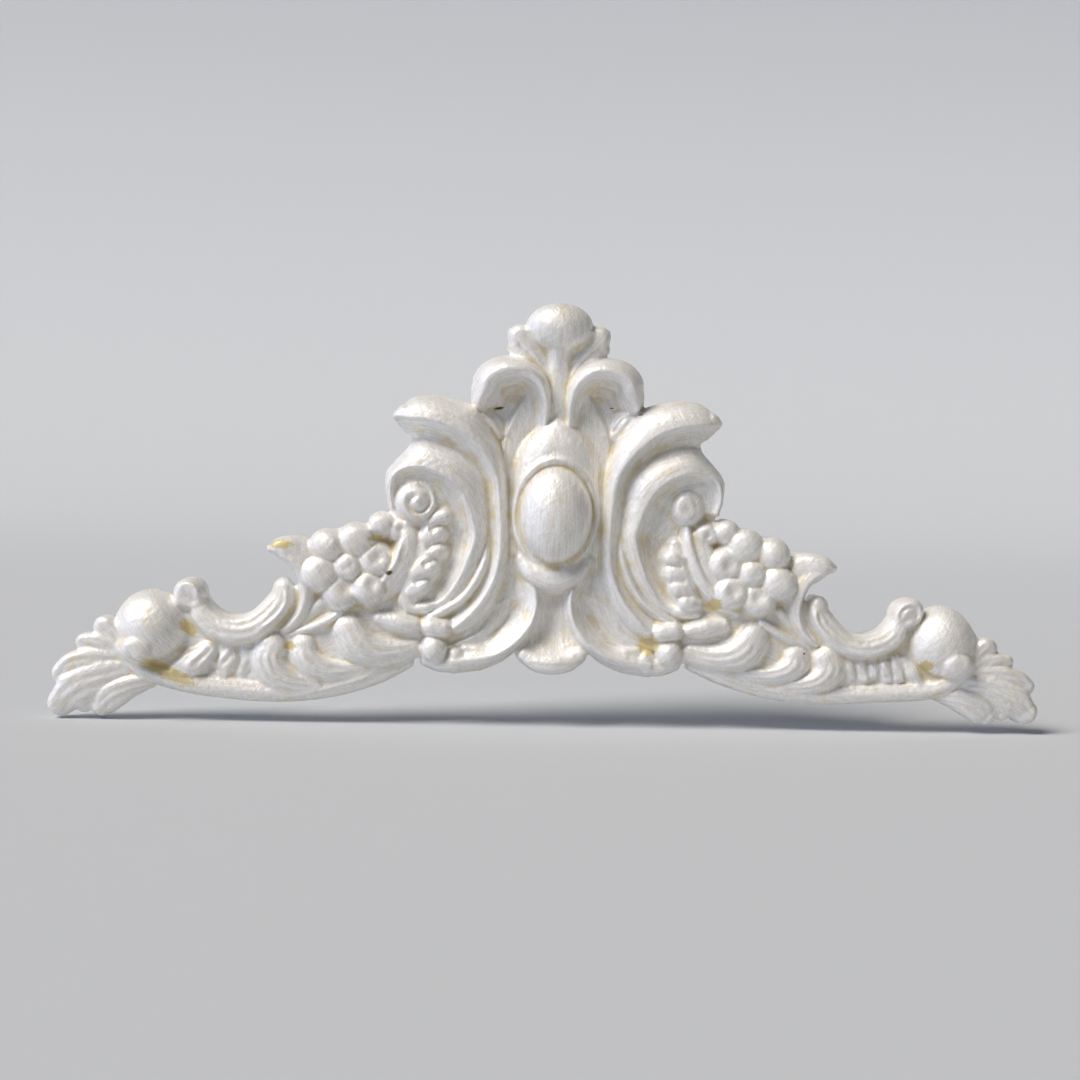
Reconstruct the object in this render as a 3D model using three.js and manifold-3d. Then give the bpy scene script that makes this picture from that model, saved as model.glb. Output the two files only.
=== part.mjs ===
// A rococo pediment onlay for furniture: one resin casting with a flat back, painted by brush.
// Millimetres, +Z up, the carved face towards -Y. The flat back lies in the plane Y = 0, and the
// origin is on it, behind the middle of the oval boss.
import * as THREE from "three";
import Module from "manifold-3d";

// Driving dimensions
const LENGTH = 300; // between the tips of the two end leaves
const BOSS = { halfWidth: 11.4, halfHeight: 14.4, top: 22 }; // the boss sets the greatest relief
const PANEL_HEIGHT = 9.5; // relief of the plain panel round the boss
const BALL = { x: 119.4, z: -36.2, radius: 10.8 }; // the ball at the root of each end leaf
const WING_MIDDLE = -44; // height of the middle line of the wings
const SLIMMING = 2.6; // how far the right wing draws in above and below that line
const PAINT_COLOUR = 0xe6e1d6;

// Counts and proportions of the carving
const PETALS = 6;
const FLUTES = 4;
const END_X = LENGTH / 2; // where each end leaf stops
const BEHIND = 2; // how far every form reaches past the back before it is cut flat
const HEAD_ANGLE = THREE.MathUtils.degToRad(54); // where the ring of a rounded end is set
const SIDES = [1, -1]; // the right half and the left half

const wasm = await Module();
wasm.setup();

// A list of values set evenly along a path, read at u between 0 and 1.
function along(values, u) {
  const list = [values].flat();
  const place = u * (list.length - 1);
  const low = Math.min(Math.floor(place), Math.max(list.length - 2, 0));
  const high = Math.min(low + 1, list.length - 1);
  return THREE.MathUtils.lerp(list[low], list[high], place - low);
}

// Even stations along a spline through points [x, z]: the centre, and the unit vector across.
function stationsAlong(points, steps) {
  const path = new THREE.SplineCurve(points.map(([x, z]) => new THREE.Vector2(x, z)));
  return Array.from({ length: steps + 1 }, (_, i) => {
    const u = i / steps;
    const way = path.getTangent(u);
    return { u, centre: path.getPoint(u), way, across: new THREE.Vector2(-way.y, way.x) };
  });
}

// The point at a distance across a station, at a height above the back.
function pointAt({ centre, across }, distance, height) {
  return [centre.x + across.x * distance, -height, centre.y + across.y * distance];
}

// A moulding: lines carried side by side along a path. Each line has `at`, its distance across from
// the path, and `up`, its height above the back, both a value or a list along the path.
function moulding(points, lines, steps = 12) {
  return stationsAlong(points, steps).map((station) =>
    lines.map(({ at, up }) => pointAt(station, along(at, station.u), along(up, station.u))),
  );
}

// A band with rounded ends: an arched section carried along a path. `half` is the half width and
// `crest` the height of the middle, each a value or a list along the path; `round` is the drop at the
// edges as a share of the half width and `tilt` the rise from one edge to the other.
function band(points, { half, crest, round = 0.8, tilt = 0, steps = 4, sides = 3 }) {
  const stations = stationsAlong(points, steps).map((station) => ({
    ...station,
    half: along(half, station.u),
    crest: along(crest, station.u),
  }));
  const head = (end, sign) => ({
    ...end,
    centre: end.centre.clone().addScaledVector(end.way, sign * end.half * Math.sin(HEAD_ANGLE)),
    half: end.half * Math.cos(HEAD_ANGLE),
    crest: end.crest - round * end.half * (1 - Math.cos(HEAD_ANGLE)),
  });
  const rows = [head(stations[0], -1), ...stations, head(stations[steps], 1)];
  return rows.map((station) =>
    Array.from({ length: sides + 1 }, (_, j) => {
      const t = -Math.cos((Math.PI * j) / sides);
      const drop = round * station.half * (1 - Math.sqrt(Math.max(0, 1 - t * t)));
      return pointAt(station, t * station.half, station.crest + tilt * t - drop);
    }),
  );
}

// A dome on an oval plan, set out in rows across it.
function dome([x, z], halfWidth, top, { halfHeight = halfWidth, round = 0.9, rows = 3, sides = 4 } = {}) {
  const drop = round * Math.min(halfWidth, halfHeight);
  const turn = (i, count) => -Math.cos((Math.PI * THREE.MathUtils.lerp(0.1, 0.9, i / count)));
  return Array.from({ length: rows + 1 }, (_, i) => {
    const b = turn(i, rows);
    const reach = Math.sqrt(1 - b * b);
    return Array.from({ length: sides + 1 }, (_, j) => {
      const a = -Math.cos((Math.PI * j) / sides) * reach;
      const rise = Math.sqrt(Math.max(0, 1 - a * a - b * b));
      return [x + a * halfWidth, -(top - drop * (1 - rise)), z + b * halfHeight];
    });
  });
}

// The wing on the right is carved a little slimmer than the one on the left: its points draw in
// towards the middle line of the wing, but for those of the end ball.
function slimmed([x, y, z]) {
  const above = z > WING_MIDDLE;
  const share = above ? THREE.MathUtils.smoothstep(x, 50, 95) : THREE.MathUtils.smoothstep(x, 34, 46);
  const spared = 1 - Math.exp(-(((x - BALL.x) / BALL.radius) ** 2));
  return [x, y, z - SLIMMING * share * spared * Math.tanh((z - WING_MIDDLE) / 12)];
}

// The closed solid under a grid of points, down past the back, for the right or the left half.
function solidUnder(grid, side = 0) {
  const rows = grid.length;
  const columns = grid[0].length;
  const top = grid.flat().map((point) => {
    const [x, y, z] = side > 0 ? slimmed(point) : point;
    return [side < 0 ? -x : x, y, z];
  });
  const floor = top.map(([x, , z]) => [x, BEHIND, z]);
  const under = top.length;
  const faces = [];
  const quad = (a, b, c, d) => faces.push(a, b, c, a, c, d);
  for (let r = 0; r + 1 < rows; r++) {
    for (let c = 0; c + 1 < columns; c++) {
      const a = r * columns + c;
      quad(a, a + 1, a + columns + 1, a + columns);
      quad(under + a + columns, under + a + columns + 1, under + a + 1, under + a);
    }
  }
  const wall = (a, b) => quad(b, a, under + a, under + b);
  for (let c = 0; c + 1 < columns; c++) {
    wall(c, c + 1);
    wall((rows - 1) * columns + c + 1, (rows - 1) * columns + c);
  }
  for (let r = 0; r + 1 < rows; r++) {
    wall((r + 1) * columns, r * columns);
    wall(r * columns + columns - 1, (r + 1) * columns + columns - 1);
  }
  const vertProperties = new Float32Array([...top, ...floor].flat());
  const made = (order) => {
    const mesh = { numProp: 3, vertProperties, triVerts: new Uint32Array(order) };
    return new wasm.Manifold(new wasm.Mesh(mesh));
  };
  const solid = made(faces);
  return solid.volume() > 0 ? solid : made(faces.reverse());
}

// The plain panel behind the boss, the hood over it, the collar round it and the crescent lip below.
function cartouche() {
  const level = [1, 1, 1, 1, 0.9, 0.78].map((share) => share * PANEL_HEIGHT);
  const edge = { at: [9, 15, 15.5, 15.5, 18, 16], up: level };
  const opposite = { ...edge, at: edge.at.map((x) => -x) };
  const panel = moulding([[0, 36], [0, 24], [0, 12], [0, 0], [0, -13], [0, -24]], [opposite, edge], 5);
  const hoodHalf = [1.2, 6.2, 10.4, 12.8, 13.8, 14, 13];
  const hoodCrest = [11.4, 13.2, 14.6, 15, 14.6, 13.2, 10.8];
  const hoodLine = (share, rise) => ({
    at: hoodHalf.map((half) => share * half),
    up: hoodCrest.map((crest) => THREE.MathUtils.lerp(PANEL_HEIGHT, crest, rise)),
  });
  const hood = moulding(
    [[0, 28.4], [0, 25], [0, 20.4], [0, 13.4], [0, 6], [0, -3], [0, -12]],
    [hoodLine(-1, 0), hoodLine(-0.75, 0.6), hoodLine(0, 1), hoodLine(0.75, 0.6), hoodLine(1, 0)], 6,
  );
  const collar = dome([0, 0], BOSS.halfWidth + 1.8, 12.6, {
    halfHeight: BOSS.halfHeight + 1.8, round: 0.22, rows: 5, sides: 3,
  });
  const boss = dome([0, 0], BOSS.halfWidth, BOSS.top, {
    halfHeight: BOSS.halfHeight, round: 0.8, rows: 6, sides: 6,
  });
  const lip = band([[9.4, -13.4], [6, -17.6], [0, -19.6], [-6, -17.6], [-9.4, -13.4]], {
    half: [2, 3, 3.4, 3, 2], crest: [11.4, 13, 13.6, 13, 11.4], round: 0.7, steps: 6, sides: 2,
  });
  return [panel, hood, collar, boss, lip];
}

// The hollow tongue below the lip, flaring into a turned-up edge.
function tongue() {
  const line = (share, up) => ({ at: [4, 3.8, 4.6, 7, 10.6, 8.4].map((half) => share * half), up });
  const edge = [9, 8.6, 8.4, 8.6, 9.6, 10];
  const channel = moulding(
    [[0, -20], [0, -26], [0, -32], [0, -37], [0, -42], [0, -44.6]],
    [line(-1, edge), line(0, [7.8, 6.6, 6.4, 7.2, 9.8, 11.4]), line(1, edge)], 5,
  );
  const roll = band([[8.2, -42.6], [4.6, -44.6], [0, -45.2], [-4.6, -44.6], [-8.2, -42.6]], {
    half: [2.2, 2.7, 2.9, 2.7, 2.2], crest: [10.4, 11.5, 12, 11.5, 10.4],
  });
  return [channel, roll];
}

// The leaf that crowns the top: a bulb over a hollow leaf with a rib down its middle.
function crownLeaf() {
  const line = (share, up) => ({ at: [4, 6.5, 11.6, 13.6].map((half) => share * half), up });
  const leaf = moulding(
    [[0, 24], [0, 36], [0, 46], [0, 55]],
    [line(-1, [9, 10.6, 10.8, 10]), line(0, [9, 9.6, 10.6, 13]), line(1, [9, 10.6, 10.8, 10])], 4,
  );
  const rib = band([[0, 33], [0, 48]], { half: [0.8, 1.6], crest: [10.8, 12.4], steps: 1 });
  const bulb = dome([0, 55.8], 9.8, 17, { halfHeight: 6.9, rows: 4, sides: 4 });
  return [leaf, rib, bulb];
}

// The scalloped shoulder of the crown leaf: two lapped folds that run down from its edge.
function shoulder() {
  const lower = band([[13.2, 49.4], [10, 46.6], [6, 42]], {
    half: [2, 1.8, 1], crest: [10.8, 11.2, 10.4], round: 0.5, steps: 2,
  });
  const upper = band([[11.8, 52.8], [9.6, 50.2], [5.8, 45.6], [1.8, 39.9]], {
    half: [3.4, 2.8, 2, 1], crest: [12.2, 12, 11.6, 10.8], round: 0.5, steps: 3,
  });
  return [upper, lower];
}

// The hooked curl beside the crown leaf: a round outer band with a crisp inner edge over a bowl.
function curl() {
  const outer = [1.6, 1.7, 2.4, 4, 5, 6.3, 7, 6.2, 4.2, 2.6];
  const hook = moulding(
    [
      [4.4, 25], [4.2, 28.5], [4.6, 33.4], [6.5, 37.5], [9.7, 40.2],
      [13.9, 40.6], [18.1, 38.9], [20.1, 35.7], [22.1, 32.2], [22.8, 30.8],
    ],
    [
      { at: outer, up: [9.4, 9.6, 10, 10.4, 10.6, 10.6, 10.4, 10, 9.6, 9.2] },
      { at: outer.map((x) => 0.85 * x), up: [10.4, 11.4, 12.8, 13.6, 14.2, 14.4, 14.2, 13.4, 12, 10.8] },
      { at: outer.map((x) => 0.45 * x), up: [11, 12.6, 14.6, 16.2, 17.2, 17.6, 17.4, 16.4, 14.4, 12.4] },
      { at: 0, up: [10.8, 12, 13.8, 15.4, 16.4, 16.8, 16.4, 15.4, 13.6, 11.8] },
      { at: -1.4, up: [9.8, 10, 11, 12, 12.4, 12.4, 12, 11.6, 11, 10.4] },
      { at: -3.6, up: [8.8, 8.6, 8.8, 9, 9.2, 9.2, 9, 8.8, 8.8, 8.8] },
    ], 8,
  );
  const bowl = moulding(
    [[13.5, 23], [13.5, 31], [14.5, 39]],
    [{ at: [9, 9, 6], up: 9 }, { at: 0, up: [9, 8, 8] }, { at: [-8.5, -8.5, -5], up: 9 }], 3,
  );
  const leaf = band([[21.6, 29], [19.4, 27], [17.4, 23.4]], {
    half: [1.6, 2.4, 1.6], crest: [10.4, 10.4, 9.6], steps: 2, sides: 2,
  });
  return [hook, bowl, leaf];
}

// The great volute in three ridges: the brim that ends in a beak, the scroll with a crisp edge that
// winds round the eye, and a thin ridge that parts from the brim below. Coves lie between them.
function volute() {
  const scrollPath = [
    [48.3, 0.8], [49.3, 5], [48.6, 9.6], [46.4, 12], [43.6, 12.9], [40.6, 13.1], [37.7, 12.6], [34.7, 11.3],
    [32.3, 9.8], [29.9, 7.7], [28.3, 5.7], [27.1, 3.1], [25.8, 0.1], [24.9, -2.8], [24.2, -5.7], [24.5, -8.7],
    [25.3, -11.4], [26.4, -14.4], [27.5, -17.4], [28.9, -20.4], [30.6, -23.1], [32.6, -25.8], [35.6, -27.9],
  ];
  const edge = [1.2, 2.4, 5.6, 8.4, 8.8, 7.6, 5.8, 4.5, 4.8, 4.8, 4.4, 3];
  const low = [8.5, 8.5, 9.4, 11.6, 12, 11.6, 10.4, 9.8, 9.4, 9.2, 9.2, 9.2];
  const high = [12, 14, 15.2, 16.2, 16.4, 15.6, 14.8, 14, 13.2, 12.4, 11.6, 10.8];
  const face = [2.6, 2.6, 3.2, 4, 4.8, 6, 6, 6, 5.6, 5, 4, 2.6];
  const sunk = [10.6, 11.6, 12.2, 12.2, 11.8, 10.8, 10, 9.2, 8.8, 8.6, 8.6, 9];
  const mixed = (from, to, share) => from.map((height, i) => THREE.MathUtils.lerp(height, to[i], share));
  const times = (share, list) => list.map((value) => share * value);
  const scroll = moulding(
    scrollPath,
    [
      { at: times(-1, edge), up: low },
      { at: times(-0.55, edge), up: mixed(low, high, 0.72) },
      { at: 0, up: high },
      { at: 1, up: mixed(high, sunk, 0.6) },
      { at: face, up: sunk },
    ], 14,
  );
  const brimPath = [
    [48.6, 27.9], [43.9, 27.5], [38, 27], [32.7, 25.6], [28.8, 23.7], [25.5, 21.1], [22.2, 17.7],
    [19.4, 13.6], [17.8, 9.2], [17.1, 3.9], [16.7, -2], [16.5, -7.9], [16.7, -12.3], [17.5, -17.3],
    [19.2, -21.8],
    [21.4, -25.7], [24, -29], [26.9, -32], [30.1, -34.8],
  ];
  const out = [1, 6, 7.7, 8.3, 8.4, 6.9, 5.9, 4.1, 3.2, 3, 2.9, 2.9, 2.9, 3, 3.7, 4.3, 4.4, 4, 2.4];
  const foot = [11, 10.5, 10.5, 10.5, 10.4, 10, 9.6, 9.4, 9.4, 9.4, 9.4, 9.4, 9.2, 9, 8.6, 8.2, 8, 8, 9];
  const top = [
    14.5, 17, 18, 18.2, 18, 17.6, 17, 16, 15, 14.2, 13.6, 13.2, 13, 12.8, 12.6, 12.4, 12.2, 12, 11.4,
  ];
  const cove = [0.8, 4.6, 5.9, 5.6, 5, 4.8, 4, 4, 3.5, 3.6, 3.2, 3.2, 3, 2.8, 2.4, 2.2, 2.2, 2.2, 2];
  const deep = [
    12, 11.6, 11.6, 12, 12.2, 12, 11.6, 11.2, 10.8, 10.4, 10.2, 10, 10, 10, 9.8, 9.6, 9.6, 9.6, 9.8,
  ];
  const brim = moulding(
    brimPath,
    [
      { at: times(-1, out), up: foot },
      { at: times(-0.75, out), up: mixed(foot, top, 0.6) },
      { at: 0, up: top },
      { at: times(0.45, cove), up: mixed(deep, top, 0.4) },
      { at: cove, up: deep },
    ], 14,
  );
  const thin = band(
    [
      [19.7, -6.6], [20.2, -11.1], [20.7, -14.1], [21.8, -17.1], [23.2, -20.1],
      [25, -23.1], [27.6, -26.1], [30.8, -28.3], [33.7, -30.1], [36.7, -31.4],
    ],
    { half: [0.7, 1, 1.1, 1.2, 1.2], crest: [10.4, 12, 12.2, 11.7, 11], round: 1.1, steps: 4, sides: 2 },
  );
  const eye = dome([41.6, 3], 6, 15.6, { round: 0.62, rows: 4, sides: 4 });
  const knob = dome([41.6, 3], 2.8, 16, { round: 0.6, rows: 3, sides: 3 });
  return [scroll, brim, thin, eye, knob];
}

// The frilled leaf inside the volute on its bed, and the smooth leaf between it and the flower.
function ruffle() {
  const bed = moulding(
    [[30, 26], [31, 10], [33, -8], [38, -24], [44, -36]],
    [{ at: [-16, -17, -22, -24, -12], up: 8.4 }, { at: [11, 16, 17, 26, 20], up: 8.4 }], 5,
  );
  const frills = [
    { path: [[38.2, -6.8], [33.4, -2.6]], half: [1.8, 1.8], crest: [11.4, 12.2] },
    { path: [[39, -10.6], [32.8, -9.2]], half: [1.5, 1.8], crest: [11, 11.8] },
    { path: [[40, -14.4], [33.2, -13.6]], half: [2, 3], crest: [11.6, 12.4] },
    { path: [[41.4, -18], [36, -17.8]], half: [1.4, 1.5], crest: [11.2, 11.4] },
    { path: [[44, -20.6], [38, -22]], half: [2.2, 3], crest: [11.6, 12.3] },
    { path: [[46, -25], [39, -26.4]], half: [1.4, 1.7], crest: [11, 11.3] },
  ].map(({ path, half, crest }) => band(path, { half, crest, steps: 1, sides: 2 }));
  const leaf = band([[43.5, -4.6], [43, -9], [44.6, -15.4], [47.6, -20.3], [51.4, -25], [55.1, -28.3]], {
    half: [1.8, 3, 3.5, 3.4, 2.6, 1.3], crest: [11.8, 12.8, 13, 12.6, 11.8, 10.6],
    round: 0.35, tilt: 0.7, steps: 4, sides: 2,
  });
  return [bed, ...frills, leaf];
}

// A flower of round petals about a button, with two buds towards the volute.
function flower() {
  const [x, z] = [61.4, -17];
  const petals = Array.from({ length: PETALS }, (_, i) => {
    const angle = THREE.MathUtils.degToRad(45 + (360 * i) / PETALS);
    const ring = 8.6 + 0.4 * Math.cos(2.2 * i);
    const place = [x + ring * Math.cos(angle), z + ring * Math.sin(angle)];
    return dome(place, 5.1 + 0.3 * Math.sin(1.7 * i), 14.4 + 0.6 * Math.sin(2.9 * i), { round: 0.72 });
  });
  const bed = dome([x, z], 11.4, 10.6, { round: 0.3, rows: 2, sides: 3 });
  const button = dome([x, z], 3.9, 14.6, { round: 0.75, sides: 3 });
  const outerBud = dome([51.6, -4], 4, 13.6, { halfHeight: 3.4, rows: 2 });
  const innerBud = dome([46.8, -5.8], 3.2, 13, { rows: 2, sides: 3 });
  const shoot = dome([54.6, -6.4], 2.6, 11.6, { rows: 2, sides: 2 });
  return [bed, ...petals, button, outerBud, innerBud, shoot];
}

// The hooked leaf beyond the flower, with the stems that feed it.
function beakLeaf() {
  const crest = [12, 12.8, 13, 12.6, 12, 11.2, 10.4, 9.2];
  const wide = [1.6, 3, 4.4, 4, 3, 2.6, 2.2, 1.4];
  const stem = moulding(
    [
      [84.2, -12.6], [80.6, -14.4], [77, -17.4], [74.7, -22.6],
      [74.2, -26.4], [75.5, -31], [78.4, -34.9], [80.7, -36.8],
    ],
    [
      { at: [0.7, 1, 1.1, 1.2, 1.3, 1.3, 1.2, 0.8], up: 9 },
      { at: 0, up: crest },
      { at: wide.map((x) => -0.6 * x), up: crest.map((height) => height - 0.7) },
      { at: wide.map((x) => -x), up: crest.map((height) => height - 3) },
    ], 7,
  );
  const beak = band([[75.8, -13.4], [78.8, -12.4], [81.8, -11.7], [84.2, -12]], {
    half: [5, 4.3, 2.9, 1.2], crest: [12.2, 12.8, 12.8, 12], round: 0.5, steps: 3,
  });
  const shoot = band([[75.4, -35], [71.4, -30.4], [68, -27]], {
    half: [1.2, 1.8, 1.5], crest: [9, 10, 10.4], steps: 2, sides: 2,
  });
  const spear = band([[78, -37.7], [69.2, -34.3], [63.4, -30.9]], {
    half: [0.8, 1.4, 1.2], crest: [9, 10.8, 10.8], round: 1, steps: 2, sides: 2,
  });
  return [stem, beak, shoot, spear];
}

// The open C-scroll along the top of the wing, higher on its outer side, with its curled head.
function cScroll() {
  const scroll = band(
    [
      [105, -29.6], [102.6, -33.2], [98.6, -35.6], [94, -36.4],
      [88.8, -35.2], [84.6, -31.8], [81.4, -27.6], [80.6, -23.8],
    ],
    {
      half: [3.2, 3.7, 3.9, 4, 4, 3.8, 3.2, 2.8], crest: [10.2, 10.8, 11.2, 11.4, 11.4, 11.4, 11.2, 11],
      round: 0.45, tilt: 0.6, steps: 7,
    },
  );
  const knob = dome([108, -26.2], 4.9, 11.8, { halfHeight: 4.7, sides: 3 });
  return [scroll, knob];
}

// The lapped comma-shaped lobes below the flower, heads outwards, with the two twigs above them.
function wingLobes() {
  const lobes = [
    {
      path: [[83.9, -41.4], [84.9, -45.3], [82.5, -49.2], [77.7, -52], [70.6, -53.8]],
      half: [4.2, 4.4, 4, 2.8, 1.4], crest: [10.8, 11, 10.6, 9.6, 8.4],
    },
    {
      path: [[74.4, -41.2], [73.8, -44.5], [70.1, -47.4], [64.2, -48.8], [57.1, -48.4]],
      half: [3.3, 3.6, 3, 2.4, 1.4], crest: [10.8, 11.2, 10.8, 10, 8.8],
    },
    {
      path: [[60.9, -36.2], [58.4, -39.9], [54.2, -42.2], [48.3, -42.6], [41.8, -41.6]],
      half: [4.4, 5, 4.4, 3.4, 2.4], crest: [12.4, 12.6, 12, 11, 9.8],
    },
  ].map(({ path, half, crest }) => band(path, { half, crest, round: 0.7, tilt: -0.5, steps: 4, sides: 2 }));
  const upper = band([[52, -31.4], [46, -32.4], [40, -32.2]], {
    half: [1.6, 2.2, 2], crest: [11.2, 11.8, 12], steps: 2, sides: 2,
  });
  const lower = band([[52, -35.6], [45.5, -36.2], [40.1, -35.3]], {
    half: [1, 1.9, 1.8], crest: [11, 12, 12.2], steps: 2, sides: 2,
  });
  return [...lobes, upper, lower];
}

// The bed of the wing, its rounded lower edge and the crumpled flutes below the C-scroll.
function wing() {
  const bed = moulding(
    [[120, -42], [106, -44], [92, -46], [78, -43.5], [60, -36], [40, -34]],
    [
      { at: [9, 10, 10.5, 13, 15, 9.5], up: [6.4, 6.8, 7, 7.4, 8, 8.4] },
      { at: [-10, -12, -10.5, -19, -16, -12], up: [6.8, 7, 7.6, 8.4, 9, 8.8] },
    ], 5,
  );
  const edge = band(
    [
      [132.4, -38.6], [127, -44.6], [119.6, -50], [107.4, -53], [97, -54.2],
      [86.6, -55], [75, -54.8], [63, -53], [51.4, -49.4], [43, -45.6],
    ],
    {
      half: [1.4, 1.8, 2.5, 3, 3.1, 3.1, 3, 2.8, 2.5, 1.8],
      crest: [7.8, 8.8, 8.8, 8.8, 8.6, 8.4, 8.2, 8.2, 8.2, 7.6], steps: 6, sides: 2,
    },
  );
  const flutes = Array.from({ length: FLUTES }, (_, i) => {
    const x = THREE.MathUtils.lerp(90.6, 110.6, i / (FLUTES - 1));
    const sway = 0.7 * Math.sin(2.3 * i);
    return band([[x - sway, -41], [x + sway, -44.6], [x + 1.6 - sway, -49]], {
      half: [2.2, 3 + 0.5 * sway, 2.4], crest: [8.6, 9.4 + 0.8 * sway, 8.4], round: 0.6, steps: 1, sides: 2,
    });
  });
  return [bed, edge, ...flutes];
}

// The ball with its nub, and the leaf that ends the wing in lapped lobes, each higher on its upper side.
function endLeaf() {
  const ball = dome([BALL.x, BALL.z], BALL.radius, 13.8, { rows: 4, sides: 5 });
  const nub = dome([122.8, -42.4], 4.2, 14.4, { halfHeight: 3.4, round: 0.35, rows: 2, sides: 3 });
  const leaf = moulding(
    [[122, -46], [132, -50], [143, -55.5]],
    [{ at: [8, 10.5, 6], up: [5.6, 5, 4.2] }, { at: [-7, -9, -5], up: [5.4, 5, 4.2] }], 3,
  );
  const lobes = [
    { path: [[129.4, -40.2], [133, -36.8]], half: [3.2, 3.4], crest: [8.6, 8.8], steps: 1 },
    {
      path: [[129.1, -44.2], [135.2, -41.9], [139, -41.4]],
      half: [2.4, 3.1, 2.6], crest: [7.6, 8.2, 7.6],
    },
    {
      path: [[126.8, -47], [136, -47.2], [142, -48.6], [145.4, -50.8]],
      half: [2.6, 3.8, 4.2, 3.2], crest: [7.4, 8.2, 7.8, 6.8],
    },
    {
      path: [[124.6, -49.4], [134, -51.9], [141.6, -55.8], [END_X - 4.2, -59.6]],
      half: [2.8, 4.5, 5.2, 4], crest: [7.4, 8.4, 8, 6.6],
    },
    {
      path: [[119.6, -53.2], [125, -54.6], [129.6, -57], [132.6, -59.6], [134, -60.8]],
      half: [1.6, 3, 3.8, 3.5, 2.6], crest: [7.2, 8, 8, 7.2, 6.4],
    },
    {
      path: [[134.6, -52.4], [137.6, -57.4], [138.8, -60]],
      half: [1.6, 3, 2.4], crest: [6.8, 6.8, 6],
    },
  ].map((lobe) => band(lobe.path, { round: 0.25, tilt: 0.8, steps: 2, sides: 2, ...lobe }));
  return [ball, nub, leaf, ...lobes];
}

// The scooped foot beside the tongue: a thin rolled rim round a hollow, with its toe, knot and ball.
function foot() {
  const scoop = moulding(
    [
      [8.8, -17.5], [5.6, -22.2], [4.7, -26.8], [5.6, -31.8], [8.2, -36.2],
      [11.8, -39.8], [16.4, -42.8], [22.6, -44.6], [30, -45.4],
    ],
    [
      { at: [-1.3, -1.3, -1.3, -1.6, -1.8, -1.8, -2.4, -3, -3.3], up: [9, 9, 8.6, 8.2, 8.2, 8, 7.4, 7, 7] },
      { at: 0.2, up: [11, 11.4, 11.6, 11.8, 11.8, 11.6, 11.4, 11, 10.6] },
      { at: [1.2, 1.4, 1.5, 1.6, 1.7, 1.8, 2, 2.2, 2], up: [10.2, 10.6, 10.8, 11, 11, 10.8, 10.6, 10.4, 10] },
      { at: [3.4, 5.2, 6.2, 6.6, 6.4, 6, 5.2, 4.6, 4], up: [9.2, 8.6, 7.8, 7.2, 7, 7.4, 8, 8.6, 9] },
      { at: [7, 10.4, 11.6, 12.4, 12.4, 12, 11, 10, 9], up: [9.6, 9.2, 8.6, 8.2, 8, 8.2, 8.6, 9, 9.2] },
    ], 7,
  );
  const toe = band([[29, -45.2], [33, -45.4], [37, -44.4]], {
    half: [3, 2.8, 2.4], crest: [10.2, 9.8, 9.2], steps: 2, sides: 2,
  });
  const knot = band([[38.4, -35], [32.4, -35.4]], { half: [2.1, 2.3], crest: 12.6, steps: 1, sides: 2 });
  const ball = dome([35.4, -41], 4.2, 12.6, { sides: 3 });
  return [scoop, toe, knot, ball];
}

// Everything behind the back plane, to be cut away.
function behindTheBack() {
  const block = new THREE.BoxGeometry(2 * LENGTH, 4 * BEHIND, 2 * LENGTH);
  block.translate(0, 2 * BEHIND, 0);
  const corners = block.getAttribute("position");
  const places = new Map();
  const triVerts = Uint32Array.from(block.index.array, (i) => {
    const key = [corners.getX(i), corners.getY(i), corners.getZ(i)].join();
    if (!places.has(key)) places.set(key, places.size);
    return places.get(key);
  });
  const vertProperties = new Float32Array([...places.keys()].flatMap((key) => key.split(",").map(Number)));
  return new wasm.Manifold(new wasm.Mesh({ numProp: 3, vertProperties, triVerts }));
}

// One casting: every carved form joined, then cut flat at the back.
function casting() {
  const middle = [cartouche, tongue, crownLeaf].flatMap((form) => form().map((grid) => solidUnder(grid)));
  const forms = [shoulder, curl, volute, ruffle, flower, beakLeaf, cScroll, wingLobes, wing, endLeaf, foot];
  const grids = forms.flatMap((form) => form());
  const halves = grids.flatMap((grid) => SIDES.map((side) => solidUnder(grid, side)));
  const joined = wasm.Manifold.union([...middle, ...halves]);
  const { vertProperties, triVerts } = joined.subtract(behindTheBack()).getMesh();
  return new THREE.BufferGeometry()
    .setAttribute("position", new THREE.BufferAttribute(vertProperties, 3))
    .setIndex(new THREE.BufferAttribute(triVerts, 1));
}

const paint = new THREE.MeshStandardMaterial({ color: PAINT_COLOUR, roughness: 0.45, metalness: 0 });
const pediment = new THREE.Mesh(casting(), paint);
pediment.name = "pediment";

const group = new THREE.Group();
group.add(pediment);

export default group;
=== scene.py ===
"""The looks of a small cast-resin pediment ornament, painted pearl white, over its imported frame."""

import math

import bmesh
import bpy
import numpy as np
from mathutils import Matrix, Vector


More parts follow.
